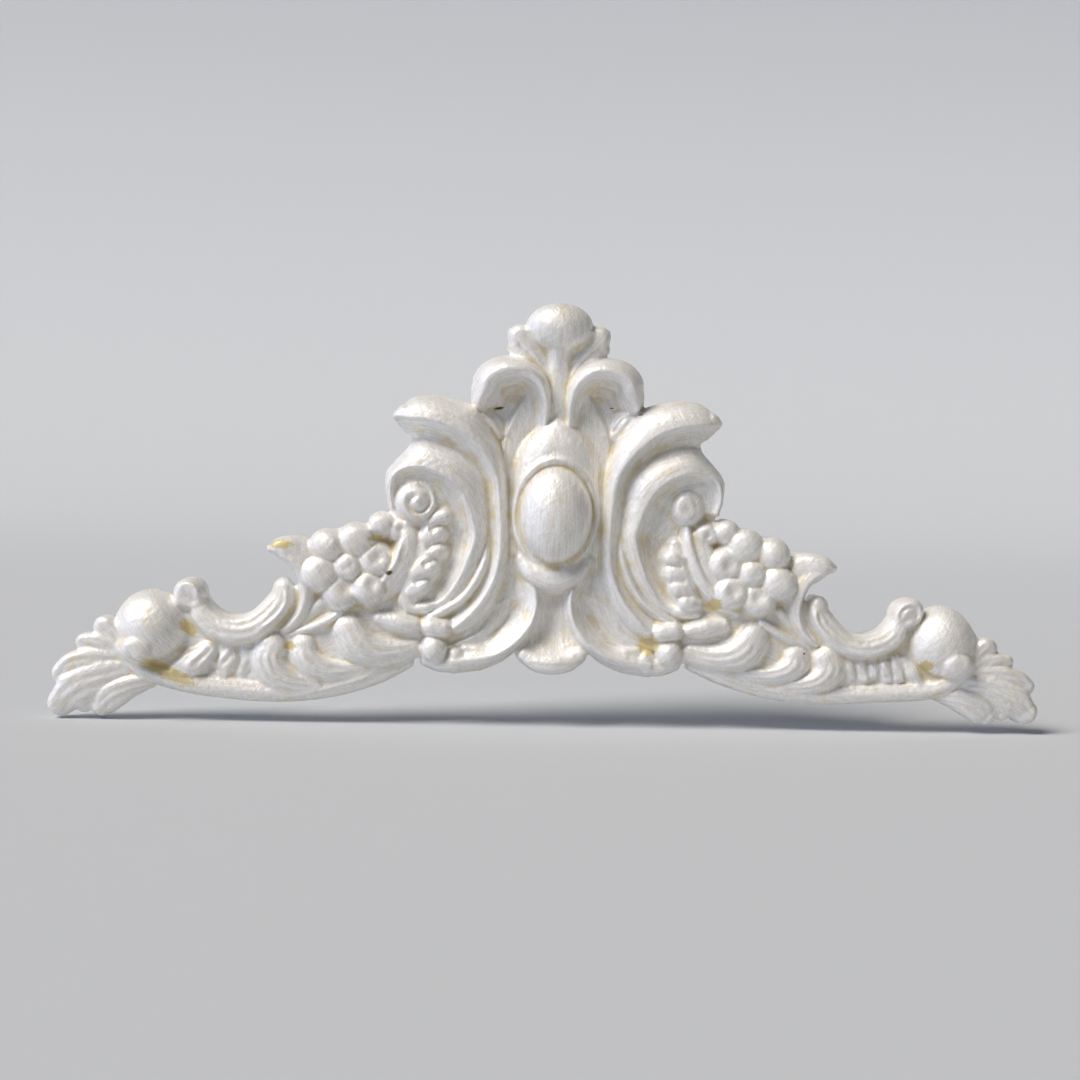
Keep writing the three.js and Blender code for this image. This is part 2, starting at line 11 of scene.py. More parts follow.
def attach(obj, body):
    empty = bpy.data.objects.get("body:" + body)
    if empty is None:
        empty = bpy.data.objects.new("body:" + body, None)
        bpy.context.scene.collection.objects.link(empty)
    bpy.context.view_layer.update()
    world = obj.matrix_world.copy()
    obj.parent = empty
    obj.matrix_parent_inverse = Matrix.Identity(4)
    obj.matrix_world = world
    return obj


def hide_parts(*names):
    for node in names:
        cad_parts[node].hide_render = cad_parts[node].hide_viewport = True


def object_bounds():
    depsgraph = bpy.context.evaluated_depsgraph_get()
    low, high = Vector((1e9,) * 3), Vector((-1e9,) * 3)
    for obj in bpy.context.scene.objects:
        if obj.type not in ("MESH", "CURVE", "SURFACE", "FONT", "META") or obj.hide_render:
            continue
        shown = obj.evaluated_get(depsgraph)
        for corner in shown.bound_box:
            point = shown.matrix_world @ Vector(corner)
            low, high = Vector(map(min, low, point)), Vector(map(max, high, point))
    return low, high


bl_info = {
    "name": "Pediment ornament",
    "version": (1, 0, 0),
    "blender": (4, 5, 0),
    "location": "View3D > Sidebar > Pediment",
    "description": "Builds a carved pediment ornament in painted resin and its studio",
    "category": "Object",
}

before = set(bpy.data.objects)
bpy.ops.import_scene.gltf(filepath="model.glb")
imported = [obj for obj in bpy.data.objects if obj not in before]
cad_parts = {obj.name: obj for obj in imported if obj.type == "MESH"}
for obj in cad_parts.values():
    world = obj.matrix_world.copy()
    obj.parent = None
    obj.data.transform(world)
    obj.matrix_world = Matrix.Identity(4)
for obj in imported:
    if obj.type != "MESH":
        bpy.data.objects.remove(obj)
CAD_BOX = [list(corner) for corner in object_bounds()]

# Sizes of the casting in millimetres, x outwards from the middle, z up from the boss.
HALF_LENGTH = 1000 * CAD_BOX[1][0] + 1
LOWEST, HIGHEST = 1000 * CAD_BOX[0][2] - 2, 1000 * CAD_BOX[1][2] + 2
BOSS_HALF_WIDTH, BOSS_HALF_HEIGHT, BOSS_TOP = 10.7, 14.2, 22
BALL, BALL_RADIUS = [119.4, -36.2], 10.8
FLOWER, RIGHT_FLOWER, PETALS = [61.4, -17], [59.6, -16], 6
FLUTES = 5
LEFT, BOTH, RIGHT = -1, 0, 1
# The right wing is slimmer: its middle height, the most a point moves and over what height it gets there,
# and how far out the slimming starts and the length it takes, above the middle and below.
WING_MIDDLE, SLIMMING, SLIM_HEIGHT = -44, 2.6, 12
UPPER_START, UPPER_RUN = 50, 45
LOWER_START, LOWER_RUN = 34, 12
SKIRT = 2.4  # how steeply a form falls away outside its edge
LEAST_EDGE = 1.5  # least thickness at the outline
EDGE_WEAR = 1.6  # how far in from the outline the edges are rounded
WALL_ROWS = 3
RIM_PASSES = 2  # how often the outline is evened out
# The two measures of hollowness darken the hollows as dust and missed paint, and as painted shade.
CAVITY_REACH = (1.2, 4.0)  # how far round a point its hollowness is measured

# Places where the paint is missing, and holes and cracks painted dark as shadow: x, z, half length, half
# width in mm, turn in degrees.
BARE_PLACES = [
    (-114.0, -49.7, 6.6, 1.6, -24),
    (28.8, -39.1, 2.4, 2.0, 10),
    (48.2, -26.3, 1.9, 1.5, 30),
    (-108.3, -36.4, 2.0, 1.2, -45),
    (-81.4, -10.7, 2.8, 1.0, 0),
    (-53.5, -8.3, 1.6, 0.8, 0),
    (113.8, -43.5, 1.5, 1.3, 0),
    (-78.1, -40.9, 1.4, 1.0, 0),
]
SHADOW_PLACES = [
    (-49.1, -18.4, 1.1, 0.7, 15),
    (-17.5, 31.2, 1.6, 0.4, 10),
    (16.3, 32.1, 0.7, 0.25, 0),
    (24.7, 30.3, 0.8, 0.25, 0),
    (76.3, -40.3, 0.4, 0.4, 0),
]

# The brush that laid the paint, in millimetres: its strokes, and its bristles, which are drawn twice as
# coarse as real ones so that they show.
STROKE_WIDTH, STROKE_LENGTH = 1.0, 7
BRISTLE_WIDTH, BRISTLE_LENGTH = 0.45, 3.5
CROSS_ANGLES = 40, -35  # degrees from upright of the strokes that cross the carving
BLOT_SIZE, GRAIN_SIZE = 4.5, 0.55
PAINT_RELIEF = 0.12  # how high the brush left its ridges
FORM_STEP = 0.37  # sets the strokes of one form apart from those of the next
# The thick coat settles in narrow hollows: within a reach, a share of the depth beyond a least one.
SETTLE_REACH, SETTLE_SHARE, SETTLE_FROM = 1.4, 0.45, 0.45
UNEVEN = 0.1  # the unevenness of the casting, in millimetres

# The floor in metres: its level, its reach, where it bends up behind, the bend's radius, the wall's top.
FLOOR_LEVEL, FLOOR_REACH = CAD_BOX[0][2] - 0.0009, 30.0
BEND_START, BEND_RADIUS, WALL_TOP = 1.6, 1.2, 4.0
# The camera of the photo: turns in degrees, place in millimetres before the turned ornament, lens in mm.
CAMERA_YAW, CAMERA_PITCH, CAMERA_ROLL = 3.32, 2.0, -1.42
CAMERA_PLACE = (-3.99, -8.06, 600)
CAMERA_LENS, SENSOR_WIDTH = 65.85, 36
# Lamps: name, where it shines from, spread in degrees, share of the key's power, colour.
LAMPS = [
    ("key", (-0.6, -0.45, 0.8), 30, 1.0, "FFF8EE"),
    ("left_fill", (-1.0, -0.35, 0.05), 50, 0.36, "86AEFF"),
    ("front_fill", (0.2, -1.0, 0.25), 90, 0.03, "FFF1DC"),
    ("back_light", (0.3, 0.9, 0.5), 60, 0.16, "FFFFFF"),
]


def linear(code):
    """An sRGB hex colour in linear light: the low end divided by 12.92, the rest by the power 2.4."""
    parts = [int(code[k : k + 2], 16) / 255 for k in (0, 2, 4)]
    return [p / 12.92 if p <= 0.04045 else ((p + 0.055) / 1.055) ** 2.4 for p in parts]


def colour_property(name, description, code):
    """A colour to be changed in the panel, given by its sRGB hex code."""
    return bpy.props.FloatVectorProperty(
        name=name, description=description, subtype="COLOR", size=3, default=linear(code), min=0, max=1,
    )


class PedimentCasting(bpy.types.PropertyGroup):
    """The casting: how finely its carving is laid out, and the colours of its paint and resin."""

    grid: bpy.props.FloatProperty(
        name="Grid", description="Spacing of the points that carry the carving",
        default=0.00046, min=0.0003, max=0.004, precision=5, unit="LENGTH",
    )
    paint: colour_property("Paint", "Colour of the full coat of paint", "F9F8F5")
    thin_paint: colour_property("Thin paint", "Colour between the strokes of the brush", "D0CCC4")
    # The resin tint also follows the narrow hollows by their depth, where it is painted shade.
    resin_tint_and_shade: colour_property("Glow", "Colour where the resin shines through the paint", "E8D7A8")
    # The colour of the hollows is dust and missed paint, and also painted shade that darkens them by their
    # depth.
    cavity_dust_and_shade: colour_property("Hollow", "Colour of dust and missed paint in the hollows", "AB936A")
    resin: colour_property("Resin", "Colour of the bare resin", "DECB92")
    # Painted shadow: a dark brown put in the holes and cracks.
    hole_shadow: colour_property("Pit", "Colour deep in the holes and cracks", "5E4212")
    brush: bpy.props.FloatProperty(
        name="Brush", description="How strongly the strokes of the brush show", subtype="FACTOR",
        default=0.45, min=0, max=1,
    )


class PedimentStage(bpy.types.PropertyGroup):
    """The studio: the floor and the strength of its lights."""

    floor: colour_property("Floor", "Colour of the pale floor", "C9CDD2")
    key_power: bpy.props.FloatProperty(
        name="Key light", description="Strength of the main light", default=3.25, min=0, max=20,
    )
    air: bpy.props.FloatProperty(
        name="Air", description="Strength of the light from all round", default=0.04, min=0, max=4,
    )


def keyed(values, share):
    """A list of values set evenly along a path, read at each share from 0 to 1 off the same kind of
    smooth curve as the paths."""
    values = np.atleast_1d(np.asarray(values, float))
    if len(values) == 1:
        return np.full(np.shape(share), values[0])
    marks, curve = spline(values[:, None], 16 * len(values))
    return np.interp(share, marks, curve[:, 0])


def spline(points, count):
    """A uniform Catmull-Rom curve through the points, at even shares: each stretch is the cubic whose
    end slopes are half the step between the neighbouring points."""
    knots = np.asarray(points, float)
    last = len(knots) - 1
    share = np.linspace(0, 1, count)
    place = np.minimum((share * last).astype(int), last - 1)
    w = (share * last - place)[:, None]
    a, b = knots[np.maximum(place - 1, 0)], knots[place]
    c, d = knots[place + 1], knots[np.minimum(place + 2, last)]
    curve = 0.5 * (2 * b + (c - a) * w + (2 * a - 5 * b + 4 * c - d) * w**2 + (3 * b - a - 3 * c + d) * w**3)
    return share, curve


def length_of(points):
    """The length of a path by its straight stretches."""
    steps = np.diff(np.asarray(points, float), axis=0)
    return np.hypot(steps[:, 0], steps[:, 1]).sum()


def smooth_max(a, b, blend):
    """The larger of two heights, with a fillet where they meet: the corner is lifted by the square of
    what is left of the blend once the difference is taken from it."""
    left = np.maximum(blend - np.abs(a - b), 0)
    return np.maximum(a, b) + left**2 / (4 * blend)


class Relief:
    """Heights above the back over points (x, z) in millimetres, x outwards from the middle, built up
    form by form. `hand` is -1 on the left half and 1 on the right one, and `inside` is how far a point
    lies within the plan of the forms joined so far."""

    def __init__(self, x, z, hand):
        self.x = x
        self.z = z
        self.hand = hand
        self.open = np.full(x.shape, True)
        self.height = np.full(x.shape, -60.0)
        self.inside = np.full(x.shape, -60.0)
        self.flow = np.zeros((len(x), 3))
        self.number = 0

    def side(self, hand):
        """Keeps the forms that follow to one half, or with BOTH lets them have both."""
        self.open = self.hand * hand >= 0

    def near(self, points, reach):
        """The open points within reach of the box round a path."""
        points = np.asarray(points, float)
        low = points.min(0) - reach
        high = points.max(0) + reach
        across = (self.x > low[0]) & (self.x < high[0])
        return np.flatnonzero(self.open & across & (self.z > low[1]) & (self.z < high[1]))

    def join(self, where, height, inside, blend, along, across):
        """Joins a form with a fillet, and notes which way it runs where it is the uppermost."""
        self.number += 1
        upper = height > self.height[where]
        run = np.stack([along, across, np.full(len(where), self.number)], 1)
        self.flow[where[upper]] = run[upper]
        self.height[where] = smooth_max(self.height[where], height, blend)
        self.inside[where] = smooth_max(self.inside[where], inside, 0.5)

    def place(self, where, points, count):
        """Where points lie by a path: the share along it of the nearest place, the distance from it,
        the signed distance across it, and how far they lie past its ends."""
        share, curve = spline(points, count)
        start, step = curve[:-1], np.diff(curve, axis=0)
        length = np.hypot(step[:, 0], step[:, 1])
        dx = self.x[where][:, None] - start[:, 0]
        dz = self.z[where][:, None] - start[:, 1]
        run = (dx * step[:, 0] + dz * step[:, 1]) / length**2
        held = np.clip(run, 0, 1)
        gap = np.hypot(dx - held * step[:, 0], dz - held * step[:, 1])
        pick = gap.argmin(1)
        row = np.arange(len(where))
        run, held, gap = run[row, pick], held[row, pick], gap[row, pick]
        across = (step[pick, 0] * dz[row, pick] - step[pick, 1] * dx[row, pick]) / length[pick]
        past = np.where(pick == 0, -run, -1.0)
        past = np.where(pick == len(step) - 1, np.maximum(past, run - 1), past) * length[pick]
        past = np.maximum(past, 0)
        across = np.where(past > 0, across, np.copysign(gap, across))
        return share[pick] + held / (count - 1), gap, across, past

    def band(self, points, half, crest, round=0.8, tilt=0.0, blend=0.7, skirt=SKIRT, count=44):
        """A band with round ends: the crest, less the drop of an elliptic arch over the half width, less
        a steep skirt outside it."""
        where = self.near(points, np.max(half) + 7)
        share, gap, across, _ = self.place(where, points, count)
        wide = keyed(half, share)
        t = np.minimum(gap / wide, 1)
        arch = keyed(round, share) * wide * (1 - np.sqrt(1 - t**2))
        lean = tilt * np.clip(across / wide, -1, 1)
        height = keyed(crest, share) + lean - arch - skirt * np.maximum(gap - wide, 0)
        self.join(where, height, wide - gap, blend, share * length_of(points), across)

    def dome(self, at, half_width, top, half_height=None, round=0.9, blend=0.7, skirt=SKIRT):
        """A dome on an oval plan: the top, less the drop of an ellipse, less a steep skirt outside it. The
        brush crosses it on a slant, or upright in the middle of the ornament."""
        half_height = half_height or half_width
        size = min(half_width, half_height)
        where = self.near([at], max(half_width, half_height) + 7)
        dx = (self.x[where] - at[0]) / half_width
        dz = (self.z[where] - at[1]) / half_height
        r = np.hypot(dx, dz)
        height = top - round * size * (1 - np.sqrt(1 - np.minimum(r, 1) ** 2))
        height -= skirt * size * np.maximum(r - 1, 0)
        lean = 0.6 if at[0] else 0
        upright = np.sqrt(1 - lean**2)
        along = size * (upright * dz + lean * dx)
        self.join(where, height, size * (1 - r), blend, along, size * (upright * dx - lean * dz))

    def moulding(self, points, lines, blend=0.7, skirt=SKIRT, count=70, crisp=()):
        """Lines side by side along a path, each with its distance across and its height: between two
        lines the section is the cubic that keeps the slope at each, and a crisp line keeps a corner."""
        reach = max(np.max(np.abs(at)) for at, _ in lines) + 7
        where = self.near(points, reach)
        share, _, across, past = self.place(where, points, count)
        at = np.array([keyed(a, share) for a, _ in lines])
        up = np.array([keyed(h, share) for _, h in lines])
        if at[0].mean() > at[-1].mean():
            at, up = at[::-1], up[::-1]
            crisp = [len(lines) - 1 - k for k in crisp]
        slope = np.gradient(up, axis=0) / np.gradient(at, axis=0)
        before = up[0] - skirt * (at[0] - across)
        beyond = up[-1] - skirt * (across - at[-1])
        height = np.where(across < at[0], before, beyond)
        for k in range(len(at) - 1):
            width = np.maximum(at[k + 1] - at[k], 1e-3)
            chord = (up[k + 1] - up[k]) / width
            t = (across - at[k]) / width
            begin = chord if k in crisp else slope[k]
            end = chord if k + 1 in crisp else slope[k + 1]
            second = t**2 * (3 * chord - 2 * begin - end)
            third = t**3 * (begin + end - 2 * chord)
            cubic = up[k] + width * (t * begin + second + third)
            height = np.where((t >= 0) & (t <= 1), cubic, height)
        inside = np.minimum(across - at[0], at[-1] - across) - past
        inside = np.where(past > 0, -past, inside)
        self.join(where, height - skirt * past, inside, blend, share * length_of(points), across)

    def line(self, points, width, lift, count=40):
        """A fine ridge, or with a negative lift a groove: a bell across the path, fading at its ends."""
        where = self.near(points, 4 * np.max(width))
        share, gap, _, _ = self.place(where, points, count)
        fade = np.clip(np.minimum(share, 1 - share) * 6, 0, 1) if len(np.atleast_1d(lift)) == 1 else 1
        self.height[where] += keyed(lift, share) * fade * np.exp(-((gap / keyed(width, share)) ** 2))

    def furrows(self, points, half, count, depth, sway=0.0):
        """Furrows that run along a band: a cosine across it, fading to its edges and its ends."""
        where = self.near(points, np.max(half))
        share, gap, across, _ = self.place(where, points, 32)
        t = across / keyed(half, share)
        fade = np.clip(1 - t**2, 0, 1) * np.clip(np.minimum(share, 1 - share) * 5, 0, 1)
        wave = np.cos(np.pi * count * t + sway * np.sin(7 * share))
        self.height[where] += depth * fade * wave * (gap < keyed(half, share))

    def dent(self, at, radius, lift):
        """A shallow bell-shaped dip, or a rise, round one place."""
        away = np.hypot(self.x - at[0], self.z - at[1])
        self.height += lift * np.exp(-((away / radius) ** 2))


def mirrored(half, sections):
    """The lines of a moulding that is the same on both sides of its path, from the heights at shares of
    its half width, edge first and middle last."""
    lines = [(share * half, height) for share, height in sections]
    return lines + [(-at, height) for at, height in reversed(lines[:-1])]


def cartouche(r):
    """The middle panel: a flat field, the pointed hood over the boss, the ring, the boss and the lip."""
    half = np.array([9, 15, 15.5, 15.5, 18, 17.5, 14])
    level = 9.6 * np.array([1, 1, 1, 1, 0.92, 0.82, 0.64])
    sunk = level * np.array([1, 1, 1, 1, 1, 0.84, 0.76])
    r.moulding(
        [[0, 36], [0, 24], [0, 12], [0, 0], [0, -13], [0, -23], [0, -32]],
        mirrored(half, [(1, level), (0, sunk)]),
        blend=2.0,
    )
    wide = np.array([1.2, 6.2, 10.4, 12.8, 13.8, 14, 13])
    crest = np.array([11.4, 13.2, 14.6, 15, 14.6, 13.2, 10.8])
    r.moulding(
        [[0, 28.4], [0, 25], [0, 20.4], [0, 13.4], [0, 6], [0, -3], [0, -12]],
        mirrored(wide, [(share, 9.8 + rise * (crest - 9.8))
                        for share, rise in ((1, 0), (0.8, 0.55), (0.4, 0.93), (0, 1))]),
        blend=1.6,
    )
    r.dome([0, 0], 13.2, 13.2, 16.4, round=0.2, blend=1.4)
    r.dome([0, 0], BOSS_HALF_WIDTH, BOSS_TOP, BOSS_HALF_HEIGHT, round=0.78, blend=0.9)
    turn = np.linspace(0, 2, 25) * np.pi
    r.line(np.stack([12.5 * np.cos(turn), 16.2 * np.sin(turn)], 1), 1.0, [0.9, 0.9], count=90)
    r.line(np.stack([11.1 * np.cos(turn), 14.7 * np.sin(turn)], 1), 0.8, [-0.9, -0.9], count=90)
    r.band(
        [[-9.4, -13.4], [-6, -17.6], [0, -19.6], [6, -17.6], [9.4, -13.4]],
        [2, 3, 3.4, 3, 2], [11.4, 13, 13.6, 13, 11.4], round=0.7, blend=1.6,
    )


def tongue(r):
    """The hollow tongue below the boss, flared and turned up to a round lip."""
    half = np.array([4, 3.8, 4.6, 7, 10.6, 8.4])
    r.moulding(
        [[0, -20], [0, -26], [0, -32], [0, -37], [0, -42], [0, -44.6]],
        mirrored(half, [(1, [9, 8.6, 8.4, 8.6, 9.6, 10]), (0.5, [8, 7, 6.8, 7.4, 9.6, 11]),
                        (0, [7.8, 6.6, 6.2, 7, 9.8, 11.6])]),
        blend=1.0,
    )
    r.band(
        [[-8.2, -42.6], [-4.6, -44.6], [0, -45.2], [4.6, -44.6], [8.2, -42.6]],
        [2.2, 2.7, 2.9, 2.7, 2.2], [10.4, 11.5, 12, 11.5, 10.4], round=0.7, blend=2.0,
    )


def crown(r):
    """The leaf that stands over the cartouche: a hollow fan with a rib, folded shoulders and a bulb."""
    half = np.array([4, 6.5, 11.6, 13.6])
    r.moulding(
        [[0, 24], [0, 36], [0, 46], [0, 55]],
        mirrored(half, [(1, [9.6, 10.6, 10.8, 10]), (0.6, [10, 10, 9.8, 10.4]),
                        (0, [10.2, 10.6, 11, 13])]),
        blend=0.8,
    )
    r.band([[0, 33], [0, 40], [0, 48]], [1.8, 2.2, 2.8], [10.8, 11.6, 12.4], round=0.4, blend=2.0)
    r.band([[13.2, 49.4], [10, 46.6], [6, 42]], [2, 1.8, 1], [10.8, 11.2, 10.4], round=0.5, blend=0.8)
    r.band([[11.8, 52.8], [9.6, 50.2], [5.8, 45.6], [1.8, 39.9]], [3.4, 2.8, 2, 1], [12.2, 12, 11.6, 10.8],
           round=0.4, blend=0.8)
    r.dome([13.6, 53.4], 1.6, 11.4)
    r.dome([0, 55.8], 9.8, 17, 6.9, round=0.8, blend=2.6)
    r.band([[0, 55], [0, 50], [0, 44]], [7.6, 4.4, 1.6], [16.2, 14.2, 12], blend=2.4)
    r.line([[12.8, 50.6], [9, 47.2], [4.6, 41.6]], 0.7, -0.6)
    r.line([[10, 54.6], [6.8, 49.2], [3, 42]], 1.0, -0.6)


def curl(r):
    """The hooked curl beside the crown: a round outer band with a crisp inner edge, the bowl it closes
    round, the crack where its end touches down and the leaf below that."""
    r.moulding(
        [[13.5, 23], [13.5, 31], [14.5, 39]],
        [([9, 9, 6], 9), (0, [9, 7.8, 7.6]), ([-8.5, -8.5, -5], 9)],
        blend=1.5,
    )
    outer = np.array([1.6, 1.7, 2.4, 4, 5, 6.3, 7, 6.2, 4.2, 2.6])
    r.moulding(
        [[4.4, 25], [4.2, 28.5], [4.6, 33.4], [6.5, 37.5], [9.7, 40.2], [13.9, 40.6], [18.1, 38.9],
         [20.1, 35.7], [22.1, 32.2], [22.8, 30.8]],
        [
            (outer, [9.4, 9.6, 10, 10.4, 10.6, 10.6, 10.4, 10, 9.6, 9.2]),
            (outer * 0.85, [10.4, 11.4, 12.8, 13.6, 14.2, 14.4, 14.2, 13.4, 12, 10.8]),
            (outer * 0.45, [11, 12.6, 14.6, 16.2, 17.2, 17.6, 17.4, 16.4, 14.4, 12.4]),
            (0, [10.8, 12, 13.8, 15.4, 16.4, 16.8, 16.4, 15.4, 13.6, 11.8]),
            (-1.4, [9.8, 10, 11, 12, 12.4, 12.4, 12, 11.6, 11, 10.4]),
            (-4, [8.6, 8.4, 8.6, 8.8, 8.9, 8.9, 8.8, 8.6, 8.6, 8.6]),
            (-6.5, 8),
            (-10, 8),
        ],
        blend=0.5, count=90, crisp=(3,),
    )
    r.band([[21.6, 29], [19.4, 27], [17.4, 23.4]], [1.6, 2.4, 1.6], [10.4, 10.4, 9.6], blend=1.8)
    r.line([[20.4, 29.6], [18.4, 27.4], [16.8, 24.4]], 0.5, -0.5)
    r.line([[22.4, 30.8], [20, 31.4], [16.6, 31.2]], 0.5, -1.2)


def volute(r):
    """The great scroll in three ridges: the brim that ends in a beak, the scroll with a crisp edge that
    winds round the eye, and a thin ridge that parts from the brim below. Coves lie between them, and the
    scroll stands over a sunk face."""
    edge = np.array([1.2, 1.2, 2.4, 3.2, 5.6, 7.8, 8.4, 8.6, 8.8, 8.4, 7.6, 6.6, 5.8, 5, 4.5, 4.6, 4.8,
                     4.8, 4.8, 4.6, 4.4, 4, 3])
    low = np.array([8.5, 8.5, 8.5, 8.5, 9.4, 11.2, 11.6, 12, 12, 12, 11.6, 11, 10.4, 10, 9.8, 9.6, 9.4,
                    9.2, 9.2, 9.2, 9.2, 9.2, 9.2])
    high = np.array([12, 13, 14, 14.6, 15.2, 15.8, 16.2, 16.4, 16.4, 16, 15.6, 15.2, 14.8, 14.4, 14, 13.6,
                     13.2, 12.8, 12.4, 12, 11.6, 11.2, 10.8])
    face = np.array([2.6, 2.6, 2.6, 2.8, 3.2, 4, 4, 4.4, 4.8, 5.4, 6, 6, 6, 6, 6, 5.8, 5.6, 5.4, 5, 4.6,
                     4, 3.4, 2.6])
    sunk = np.array([10.6, 11, 11.6, 12, 12.2, 12.2, 12.2, 12, 11.8, 11.4, 10.8, 10.4, 10, 9.6, 9.2, 9,
                     8.8, 8.8, 8.6, 8.6, 8.6, 8.8, 9])
    r.moulding(
        [[48.3, 0.8], [49.3, 5], [48.6, 9.6], [46.4, 12], [43.6, 12.9], [40.6, 13.1], [37.7, 12.6],
         [34.7, 11.3], [32.3, 9.8], [29.9, 7.7], [28.3, 5.7], [27.1, 3.1], [25.8, 0.1], [24.9, -2.8],
         [24.2, -5.7], [24.5, -8.7], [25.3, -11.4], [26.4, -14.4], [27.5, -17.4], [28.9, -20.4],
         [30.6, -23.1], [32.6, -25.8], [35.6, -27.9]],
        [
            (-edge, low),
            (-0.75 * edge, low + 0.45 * (high - low)),
            (-0.4 * edge, low + 0.85 * (high - low)),
            (0, high),
            (0.8, high - 0.45 * (high - sunk)),
            (0.5 * face, sunk + 0.12 * (high - sunk)),
            (face, sunk),
            (face + 7, sunk - 0.8),
        ],
        blend=0.5, count=180, crisp=(3,),
    )
    out = np.array([1, 6, 7.7, 8.3, 8.4, 6.9, 5.9, 4.1, 3.2, 3, 2.9, 2.9, 2.9, 3, 3.7, 4.3, 4.4, 4, 2.4])
    base = np.array([11, 10.5, 10.5, 10.5, 10.4, 10, 9.6, 9.4, 9.4, 9.4, 9.4, 9.4, 9.2, 9, 8.6, 8.2, 8,
                     8, 9])
    top = np.array([14.5, 17, 18, 18.2, 18, 17.6, 17, 16, 15, 14.2, 13.6, 13.2, 13, 12.8, 12.6, 12.4, 12.2,
                    12, 11.4])
    cove = np.array([0.8, 4.6, 5.9, 5.6, 5, 4.8, 4, 4, 3.5, 3.6, 3.2, 3.2, 3, 2.8, 2.4, 2.2, 2.2, 2.2, 2])
    deep = np.array([12, 11.6, 11.6, 12, 12.2, 12, 11.6, 11.2, 10.8, 10.4, 10.2, 10, 10, 10, 9.8, 9.6, 9.6,
                     9.6, 9.8])
    r.moulding(
        [[48.6, 27.9], [43.9, 27.5], [38, 27], [32.7, 25.6], [28.8, 23.7], [25.5, 21.1], [22.2, 17.7],
         [19.4, 13.6], [17.8, 9.2], [17.1, 3.9], [16.7, -2], [16.5, -7.9], [16.7, -12.3], [17.5, -17.3],
         [19.2, -21.8], [21.4, -25.7], [24, -29], [26.9, -32], [30.1, -34.8]],
        [
            (-out, base),
            (-0.8 * out, base + 0.5 * (top - base)),
            (-0.4 * out, base + 0.88 * (top - base)),
            (0, top),
            (0.3 * cove, deep + 0.6 * (top - deep)),
            (0.7 * cove, deep + 0.12 * (top - deep)),
            (cove, deep),
        ],
        blend=0.5, count=180, crisp=(3,),
    )
    r.band([[46, 29.2], [47.6, 28.6], [48.3, 28.3]], [1.9, 1.1, 0.7], [15.6, 15, 14.4], blend=0.8)
    r.band([[19.7, -6.6], [20.2, -11.1], [20.7, -14.1], [21.8, -17.1], [23.2, -20.1], [25, -23.1],
            [27.6, -26.1], [30.8, -28.3], [33.7, -30.1], [36.7, -31.4]],
           [0.7, 0.9, 1, 1.1, 1.1, 1.1, 1.2, 1.3, 1.3, 1],
           [10.4, 11.4, 12, 12.2, 12.2, 12, 11.8, 11.6, 11.4, 11], round=1.1, blend=0.5)
    r.side(LEFT)
    r.dome([41.4, 3], 8, 11.8, round=0.3, blend=1.5)
    r.dome([41.6, 3], 6, 15.2, round=0.55, blend=1.0)
    turn = np.linspace(0.25, 2.6, 17) * np.pi
    wound = 5.6 - 0.55 * turn
    r.line(np.stack([41.4 + wound * np.cos(turn), 2.9 + wound * np.sin(turn)], 1), 0.9, -1.5, count=80)
    r.side(RIGHT)
    r.dome([39.4, 2.8], 4.4, 13.6, 5, round=0.35, blend=1.0)
    r.dome([38.6, 2.6], 3, 14.3, 3.9, round=0.35, blend=0.6)
    r.dent([39.2, 2.4], 1.8, -0.7)
    r.side(BOTH)


def frill(r, spine, half, folds, slant, crease):
    """A frilled leaf: a soft body along its spine, uneven folds that cross it from its free edge with a
    slant, and creases between them."""
    r.band(spine, half, [11.4, 12.2, 12.5, 12.3, 11], round=0.4, blend=1.4)
    for k, (x, z, size) in enumerate(folds):
        top = 12.1 + crease * (0.8 + 0.7 * np.cos(2.1 * k))
        path = [[x, z + 0.4 * slant], [x + 1.8, z], [x + 3.6, z - 0.7 * slant]]
        r.band(path, [0.9 * size, 0.8 * size, 0.5 * size], [top, top - 0.2, top - 1], round=0.6, blend=2.2)
    for (x, z, _), (after, below, _) in zip(folds, folds[1:]):
        low = 0.5 * (z + below)
        start = 0.5 * (x + after) - 1.6
        path = [[start, low + 0.5 * slant], [start + 2.4, low], [start + 5, low - slant]]
        r.line(path, 0.9, -crease)


